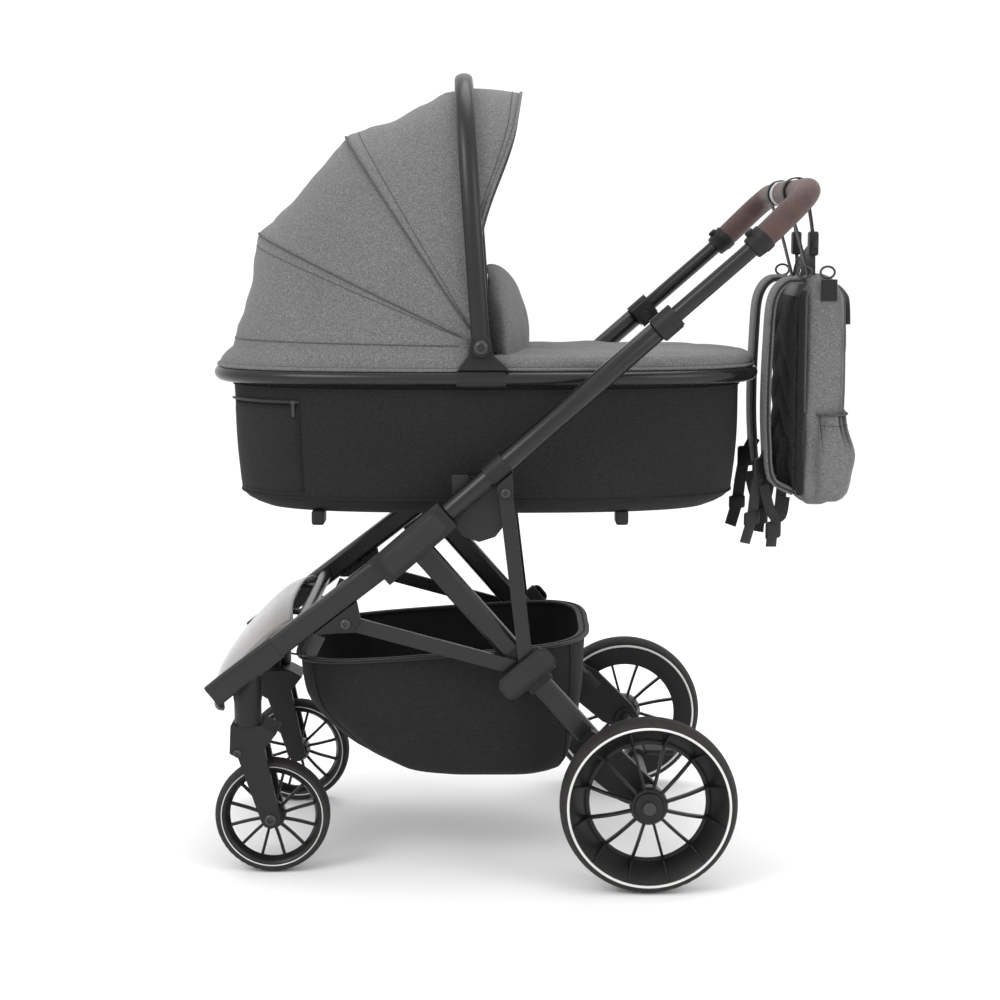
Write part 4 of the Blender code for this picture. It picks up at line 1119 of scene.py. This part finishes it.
def apron():
    """The padded cover over the foot end, and the wind flap that stands up inside the hood."""
    start_x = HOOD.x + 0.006
    middle = Vector((RIM_X + 0.1, 0, 0))
    ways = 64
    angles = [-pi / 2 + pi * k / ways for k in range(ways + 1)]
    profile = (
        (0.975, 0.0015), (0.992, 0.003), (1.002, 0.0075), (1.004, 0.012), (0.996, 0.017), (0.975, 0.0205),
        (0.945, 0.022),
        (0.905, 0.0215), (0.885, 0.02), (0.865, 0.0212), (0.82, 0.0232), (0.74, 0.0245), (0.64, 0.025),
        (0.52, 0.0252),
        (0.38, 0.025), (0.24, 0.0248), (0.1, 0.0246),
    )
    border = [apron_outline(angle) for angle in angles]
    border = [Vector((max(point.x, start_x), point.y, 0)) for point in border]
    straight = [border[-1].lerp(border[0], k / 24) for k in range(1, 24)]
    rows = []
    for share, height in profile:
        row = []
        for point in border + straight:
            point = middle.lerp(point, share)
            crumple = wobble(
                (point.x, point.y, 0), 15, 0.0048, 4.0
            ) + wobble((point.x, point.y, 0), 42, 0.002, 9.0)
            loose = 1.0 if share < 0.9 else 0.35
            row.append(Vector((point.x, point.y, RIM_TOP + height + loose * crumple)))
        rows.append(row)
    bm, made = grid(rows, wrap=True)
    bm.faces.new(made[-1])
    cover = smoother(sheeted(add("apron_cover", bm, "grey", "cot", 70), 0.0024))
    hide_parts("apron")
    piping = [point + Vector((0, 0, RIM_TOP + 0.0032)) for point in border]
    seam("apron_piping", "cot", piping, 0.0026, "grey")
    flap_rows = []
    for i in range(25):
        t = i / 24
        row = []
        for k in range(41):
            u = -1 + 2 * k / 40
            across = 0.178 * u * (1 - 0.2 * t**2.5)
            arch = max(0.0, 1 - abs(u) ** 3.2) ** 0.5
            z = RIM_TOP + 0.016 + 0.136 * sin(t * pi / 2) ** 0.9 * (
                0.35 * t * arch + (1 - 0.35 * t) * arch**0.5
            )
            bulge = 0.066 * (1 - 0.55 * u * u) * (1 - t**1.7)
            x = HOOD.x + 0.008 + bulge
            point = Vector((x, across, z))
            row.append(point + Vector((wobble(point, 20, 0.004, 6.0), 0, 0)))
        flap_rows.append(row)
    bm, _ = grid(flap_rows)
    flap = smoother(sheeted(add("wind_flap", bm, "grey", "cot", 70), 0.0045))


# ---- Basket ---------------------------------------------------------------------------------------


BASKET_RINGS = (
    (0.314, -0.306, 0.13, 0.196), (0.246, -0.292, 0.128, 0.192), (0.186, -0.24, 0.118, 0.182),
    (0.148, -0.172, 0.104, 0.168), (0.134, -0.12, 0.082, 0.142),
)
HEM_SLOPE = 0.075


def basket_wall(angle, depth, proud=0.0):
    """A point of the basket: depth from 0 at the hem to 1 at the edge of its floor."""
    place_in = min(depth, 0.9999) * (len(BASKET_RINGS) - 1)
    i = int(place_in)
    t = place_in - i
    before, low, high, after = (
        BASKET_RINGS[min(max(k, 0), len(BASKET_RINGS) - 1)] for k in range(i - 1, i + 3)
    )
    z, x_low, x_high, half = (catmull(*four, t) for four in zip(before, low, high, after))
    c, s = cos(angle), sin(angle)
    x = (x_low + x_high) / 2 + ((x_high - x_low) / 2 + proud) * copysign(abs(c) ** 0.5, c)
    y = (half + proud) * copysign(abs(s) ** 0.5, s)
    z += HEM_SLOPE * (x + 0.306) * max(0.0, 1 - 1.6 * depth)
    out = Vector((c, s, 0))
    folds = wobble((2.6 * cos(angle), 2.6 * sin(angle), depth * 1.3), 1.0, 0.007, 2.2)
    folds += wobble((x, y, z), 20, 0.0036, 7.0)
    return Vector((x + ORIGIN_X, y, z)) + folds * (0.15 + sin(pi * depth)) * out


def basket():
    """The shopping basket: sagging walls, a webbing hem, seams and the straps that carry it."""
    around = [2 * pi * k / 144 for k in range(144)]
    rows = [[basket_wall(angle, i / 30) for angle in around] for i in range(31)]
    centre = sum(rows[-1], Vector()) / len(around)
    for share in (0.82, 0.6, 0.36, 0.15):
        row = []
        for point in rows[30]:
            near = centre.lerp(point, share)
            row.append(near + Vector((0, 0, -0.003 * (1 - share) + abs(wobble(near, 24, 0.005, 3.0)))))
        rows.append(row)
    bm, made = grid(rows, wrap=True)
    bm.faces.new(made[-1])
    cloth = add("basket_cloth", bm, "black", "front_frame", 60)
    sheeted(cloth, 0.0016, 1.0)
    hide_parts("basket")
    strip = sweep(
        [basket_wall(angle, 0.016) for angle in around], rounded(0.0044, 0.017, 0.0018, 3), (0, 0, 1), True
    )
    hem = add("basket_hem", strip, "webbing", "front_frame", 50)
    seams = bmesh.new()
    for degrees in (40, 140, 220, 320):
        path = [basket_wall(radians(degrees), 0.03 + 0.95 * i / 24, 0.002) for i in range(25)]
        sweep(path, circle(0.0014, 6), (0.4, 0.3, 0.1), False, seams)
    sweep([basket_wall(angle, 0.86, 0.0016) for angle in around], circle(0.0012, 6), (0, 0, 1), True, seams)
    lines = add("basket_seams", seams, "black", "front_frame", 60)
    for piece in (cloth, hem, lines):
        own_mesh(piece)
    straps = bmesh.new()
    for side in SIDES.values():
        for degrees, tip_x, tip_z in ((212, -0.262, 0.366), (196, -0.296, 0.338)):
            foot = basket_wall(radians(degrees if side < 0 else 360 - degrees), 0.03)
            tip = Vector((tip_x + ORIGIN_X, side * 0.2335, tip_z))
            sweep(
                [foot, foot.lerp(tip, 0.5) + Vector((0, side * 0.004, 0)), tip],
                rounded(0.0026, 0.018, 0.0009, 2), (0, 1, 0), False, straps
            )
    add("basket_straps", straps, "webbing", "front_frame", 50)


# ---- Changing bag ---------------------------------------------------------------------------------


BAG_LOW, BAG_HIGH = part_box("bag_body")


BACK = 0.44 + ORIGIN_X
FRONT = 0.516 + ORIGIN_X
BAG_HALF = 0.14
POCKET_TOP = 0.678


def bag_ring(x_back, x_front, half, z, power=0.42, count=72):
    """One level of the bag: a soft rounded rectangle with a few creases."""
    ring = []
    for i in range(count):
        angle = 2 * pi * i / count
        c, s = cos(angle), sin(angle)
        x = (x_back + x_front) / 2 + (x_front - x_back) / 2 * copysign(abs(c) ** power, c)
        point = Vector((x, half * copysign(abs(s) ** power, s), z))
        ring.append(
            point + Vector((c, s, 0)) * (wobble(point, 13, 0.006, 1.3) + wobble(point, 34, 0.0026, 5.5))
        )
    return ring


def bag_profile(z):
    """Back, front and half width of the bag at a height: full below, drawn in and rounded at the top."""
    low, high = BAG_LOW.z, BAG_HIGH.z
    t = (z - low) / (high - low)
    ends = min(1.0, t / 0.07) ** 0.5 * min(1.0, (1 - t) / 0.1) ** 0.5
    lean = 0.006 * sin(pi * t)
    front = FRONT - 0.003 - 0.01 * max(0.0, 0.5 - t) - 0.03 * (1 - ends) + 0.5 * lean
    back = BACK + 0.004 + 0.02 * (1 - ends)
    return back, front, (BAG_HALF - 0.005) * (0.8 + 0.2 * ends)


def bag():
    """The changing bag: soft body, gathered pockets, seams, zip, back panel and front pocket."""
    low, high = BAG_LOW.z, BAG_HIGH.z
    rows = []
    for i in range(49):
        z = low + (high - low) * (i / 48)
        back, front, half = bag_profile(z)
        rows.append(bag_ring(back, front, half, z))
    body = smoother(add("bag_cloth", loft(rows), "grey", "bag", 70))
    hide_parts("bag_body")
    pocket_rows = []
    foot = low + 0.01
    for i in range(33):
        t = i / 32
        z = foot + (POCKET_TOP - foot) * t
        full = min(1.0, t / 0.1) ** 0.5
        drawn = max(0.0, (t - 0.66) / 0.34) ** 1.4
        bulge = 0.013 * sin(pi * min(1.0, t * 1.1)) ** 1.5
        front = FRONT + 0.002 + bulge - 0.012 * (1 - full) - 0.005 * drawn
        half = BAG_HALF + 0.001 + 0.8 * bulge - 0.01 * (1 - full) - 0.004 * drawn
        ring = bag_ring(BACK + 0.026, front, half, z, 0.36, 160)
        gather = max(0.0, (t - 0.45) / 0.55)
        puckered = []
        for k, point in enumerate(ring):
            out = Vector((point.x - (BACK + FRONT) / 2, point.y * 0.5, 0)).normalized()
            fold = sin(k * 1.05 + 1.5 * noise.noise(Vector((k * 0.21, 0, 0))))
            puckered.append(point + 0.0046 * gather * fold * out)
        pocket_rows.append(puckered)
    add("bag_pockets", loft(pocket_rows), "grey", "bag", 70)
    elastic = bmesh.new()
    sweep(
        [point + Vector((0, 0, 0.0005)) for point in pocket_rows[-1]], rounded(0.0034, 0.0075, 0.0014, 2),
        (0, 0, 1), True, elastic
    )
    add("pocket_elastic", elastic, "grey_dark", "bag", 60)
    stitches = bmesh.new()
    sweep(
        [point + Vector((0.0002, 0, 0)) for point in pocket_rows[-5]], circle(0.0007, 5), (0, 0, 1), True,
        stitches
    )
    for share in (0.1, 0.9):
        path = []
        for i in range(30):
            z = POCKET_TOP + 0.004 + (high - 0.022 - POCKET_TOP) * i / 29
            back, front, half = bag_profile(z)
            path.append((back + (front - back) * share, -half - 0.0012, z))
        sweep(path, circle(0.0013, 6), (1, 0, 0), False, stitches)
        sweep([(x, -y, z) for x, y, z in path], circle(0.0013, 6), (1, 0, 0), False, stitches)
    add("bag_seams", stitches, "grey_dark", "bag", 60)
    zip_line = bmesh.new()
    path = []
    for i in range(41):
        t = pi * i / 40
        z = high - 0.075 + 0.058 * sin(t) ** 0.6
        back, front, half = bag_profile(z)
        path.append((front + 0.0015, -0.112 * copysign(abs(cos(t)) ** 0.6, cos(t)), z))
    sweep(path, rounded(0.0075, 0.0026, 0.001, 2), (1, 0, 0), False, zip_line)
    add("bag_zip", zip_line, "webbing", "bag", 50)
    rows = []
    for i in range(41):
        t = i / 40
        z = low + 0.026 + (high - low - 0.06) * t
        row = []
        for k in range(33):
            u = -1 + 2 * k / 32
            ridge = abs(sin((t * 5.5 + abs(u) * 1.1) * pi)) ** 0.35
            x = BACK - 0.001 - 0.0085 * ridge * (1 - u**8) * min(1, 8 * t, 8 * (1 - t))
            row.append(Vector((x, 0.118 * u, z)))
        rows.append(row)
    bm, _ = grid(rows)
    sheeted(add("bag_back_panel", bm, "mesh", "bag", 70), 0.003, 1.0)
    side_panels()
    for name, side in SIDES.items():
        strap(name, side)
        hanger(name, side)
    grab = []
    for k in range(17):
        t = pi * k / 16
        grab.append((BACK + 0.022 + 0.006 * sin(t), -0.052 * cos(t), high - 0.008 + 0.04 * sin(t) ** 0.8))
    loop = sweep(smooth_path(grab, 2), rounded(0.003, 0.026, 0.0012, 2), (0, 0, 1))
    add("grab_loop", loop, "webbing", "bag", 50)


def side_panels():
    """The black binding down each side of the bag's back, and the patches under the hangers."""
    low, high = BAG_LOW.z, BAG_HIGH.z
    for name, side in SIDES.items():
        piece = bmesh.new()
        rows = []
        for i in range(33):
            z = low + 0.02 + (high - low - 0.045) * i / 32
            back, _, half = bag_profile(z)
            rows.append(
                [
                    Vector(
                        (back - 0.003 + 0.008 * k / 4, side * (half + 0.001 - 0.006 * (1 - k / 4) ** 2), z)
                    ) for k in range(5)
                ]
            )
        grid(rows, into=piece)
        sheeted(add(f"bag_binding_{name}", piece, "black", "bag", 60), 0.002, 0.0)
        patch = bmesh.new()
        half = bag_profile(high - 0.03)[2]
        box_between(
            (FRONT - 0.044, side * half - 0.003, high - 0.04),
            (FRONT - 0.02, side * half + 0.003, high - 0.008), 0.0012, 2, patch
        )
        add(f"bag_patch_{name}", patch, "webbing", "bag", 40)


def strap(name, side):
    """A padded shoulder strap with piping, its webbing tails and their buckles."""
    high, low = BAG_HIGH.z, BAG_LOW.z
    y = side * STRAP_Y
    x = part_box(f"bag_strap_{name}")[0].x
    route = [(
        BACK + 0.012, y, high - 0.01
    ), (x + 0.03, y, high - 0.013), (x + 0.0125, y, high - 0.04), (x + 0.0075, y, high - 0.1),
             (x + 0.005, y, high - 0.185), (x + 0.0068, y, high - 0.25), (x + 0.014, y, low + 0.042),
             (BACK + 0.002, y, low + 0.02)]
    path = smooth_path(route, 7)
    section = rounded(0.0585, 0.0105, 0.004, 4)
    padded = smoother(
        add(f"shoulder_strap_{name}", sweep(path, section, (0, 1, 0)), "grey", "bag", 70)
    )
    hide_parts(f"bag_strap_{name}")
    edges = bmesh.new()
    for way in (-1, 1):
        sweep(
            [point + Vector((0, way * 0.0292, 0)) for point in path], circle(0.0021, 6), (0, 1, 0), False,
            edges
        )
    add(f"strap_piping_{name}", edges, "webbing", "bag", 60)
    web = bmesh.new()
    facing = (0.86, side * -0.5, 0.1)
    out = side * 0.001
    tail = [(
        x + 0.012, y + 2 * out, low + 0.085
    ), (x - 0.002, y + 5 * out, low + 0.055), (x - 0.009, y + 8 * out, low + 0.02),
            (x - 0.014, y + 10 * out, low - 0.02), (x - 0.024, y + 11 * out, low - 0.058)]
    sweep(smooth_path(tail, 5), rounded(0.02, 0.0018, 0.0006, 2), facing, False, web)
    second = [(x + 0.04, y - 2 * out, low + 0.1), (
        x + 0.034, y - 3 * out, low + 0.05
    ), (x + 0.03, y - 4 * out, low - 0.004),
              (x + 0.021, y - 6 * out, low - 0.04), (x + 0.018, y - 6 * out, low - 0.066)]
    sweep(smooth_path(second, 5), rounded(0.02, 0.0018, 0.0006, 2), facing, False, web)
    third = [(x + 0.004, y + 6 * out, low + 0.03), (
        x + 0.016, y + 10 * out, low - 0.012
    ), (x + 0.03, y + 6 * out, low - 0.016),
             (x + 0.036, y, low + 0.012)]
    sweep(smooth_path(third, 5), rounded(0.018, 0.0018, 0.0006, 2), facing, False, web)
    add(f"strap_tail_{name}", web, "webbing", "bag", 50)
    buckles = bmesh.new()
    for place_at, reach in ((tail[1], 0.016), (tail[3], 0.01), (second[3], 0.013)):
        centre = Vector(place_at)
        turn = Vector(facing).normalized()
        across = Vector((-turn.y, turn.x, 0)).normalized()
        ring = rounded(0.027, 0.0075, 0.0028, 3)
        levels = ((-reach, 0.86), (-0.8 * reach, 1.0), (0.8 * reach, 1.0), (reach, 0.86))
        loft(
            [
                [centre + k * a * turn + k * b * across + Vector((0, 0, h)) for a, b in ring] for h,
                k in levels
            ], into=buckles
        )
    add(f"strap_buckles_{name}", buckles, "plastic", "bag", 40)


def hanger(name, side):
    """A webbing loop round the handlebar, with its side-release buckle and D-ring."""
    high = BAG_HIGH.z
    y = side * STRAP_Y
    reach = 0.0206
    line = [(BAR.x + 0.028, y, high - 0.004), (BAR.x + 0.0265, y, high + 0.052)]
    for degrees in range(-30, 231, 20):
        angle = radians(degrees)
        line.append((BAR.x + reach * cos(angle), y, BAR.z + reach * sin(angle)))
    line += [(BAR.x + 0.002, y, high + 0.062), (BAR.x + 0.02, y, high - 0.004)]
    band = sweep(smooth_path(line, 3), rounded(0.025, 0.002, 0.0007, 2), (0, 1, 0))
    loop = add(f"hanger_{name}", band, "webbing", "bag", 50)
    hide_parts(f"bag_hanger_{name}")
    catch = bmesh.new()
    box_between(
        (BAR.x + 0.02, y - 0.0155, high + 0.026), (BAR.x + 0.033, y + 0.0155, high + 0.062), 0.0035, 3, catch
    )
    box_between(
        (BAR.x + 0.0225, y - 0.019, high + 0.036), (BAR.x + 0.0305, y + 0.019, high + 0.05), 0.0025, 2, catch
    )
    add(f"hanger_buckle_{name}", catch, "plastic", "bag", 40)
    rings = bmesh.new()
    for x_ring in (BAR.x + 0.01, FRONT - 0.032):
        path = []
        for degrees in range(0, 360, 15):
            angle = radians(degrees)
            path.append((x_ring + 0.0105 * cos(angle), side * 0.118, high + 0.002 + 0.0085 * sin(angle)))
        sweep(path, circle(0.0017, 8), (0, 1, 0), True, rings)
    add(f"d_rings_{name}", rings, "steel", "bag", 60)
    if side > 0:
        pad = [(0.0125 * way, r) for way, r in ((-1, 0.0182), (-1, 0.0194), (1, 0.0194), (1, 0.0182))]
        sleeve = turned(pad, (BAR.x, y - 0.03, BAR.z), (0, 1, 0), 40)
        add("hanger_pad", sleeve, "pale", "bag", 40)


# ---- Stage ----------------------------------------------------------------------------------------


def area_light(name, place_at, target, size, power):
    """A soft light that faces the target."""
    light = bpy.data.lights.new(name, "AREA")
    light.size = size
    light.energy = power
    obj = bpy.data.objects.new(name, light)
    obj.location = place_at
    obj.rotation_euler = (Vector(target) - Vector(place_at)).to_track_quat("-Z", "Y").to_euler()
    bpy.context.scene.collection.objects.link(obj)


def stage():
    """A plain pale floor, a soft white studio and the camera."""
    bm = bmesh.new()
    bmesh.ops.create_grid(bm, x_segments=2, y_segments=2, size=60)
    add("studio_floor", bm, "floor")
    world = bpy.data.worlds.new("studio")
    world.use_nodes = True
    world.node_tree.nodes["Background"].inputs["Color"].default_value = (1.0, 1.0, 1.0, 1)
    world.node_tree.nodes["Background"].inputs["Strength"].default_value = 1.12
    bpy.context.scene.world = world
    middle = (0, 0, 0.6)
    area_light("key", (-2.4, -2.8, 3.2), middle, 1.8, 60)
    area_light("fill", (2.6, -2.6, 2.2), middle, 1.8, 25)
    area_light("top", (0.3, 0.4, 3.6), middle, 2.2, 45)
    camera = bpy.data.cameras.new("camera")
    camera.lens = 72
    camera.sensor_width = 36
    obj = bpy.data.objects.new("camera", camera)
    obj.location = CAMERA_PLACE
    obj.rotation_euler = (pi / 2 - CAMERA_DIP, 0, 0)
    bpy.context.scene.collection.objects.link(obj)
    bpy.context.scene.camera = obj
    bpy.context.scene.view_settings.view_transform = "Standard"


def build():
    stage()
    for name, side in SIDES.items():
        wheel("rear", name, side)
        wheel("front", name, side)
    frame_parts()
    footboard()
    cover_panels()
    tubes()
    handle()
    hardware()
    cot_cloth()
    cot_rim()
    pocket()
    mattress()
    hood()
    bow()
    apron()
    basket()
    bag()


build()
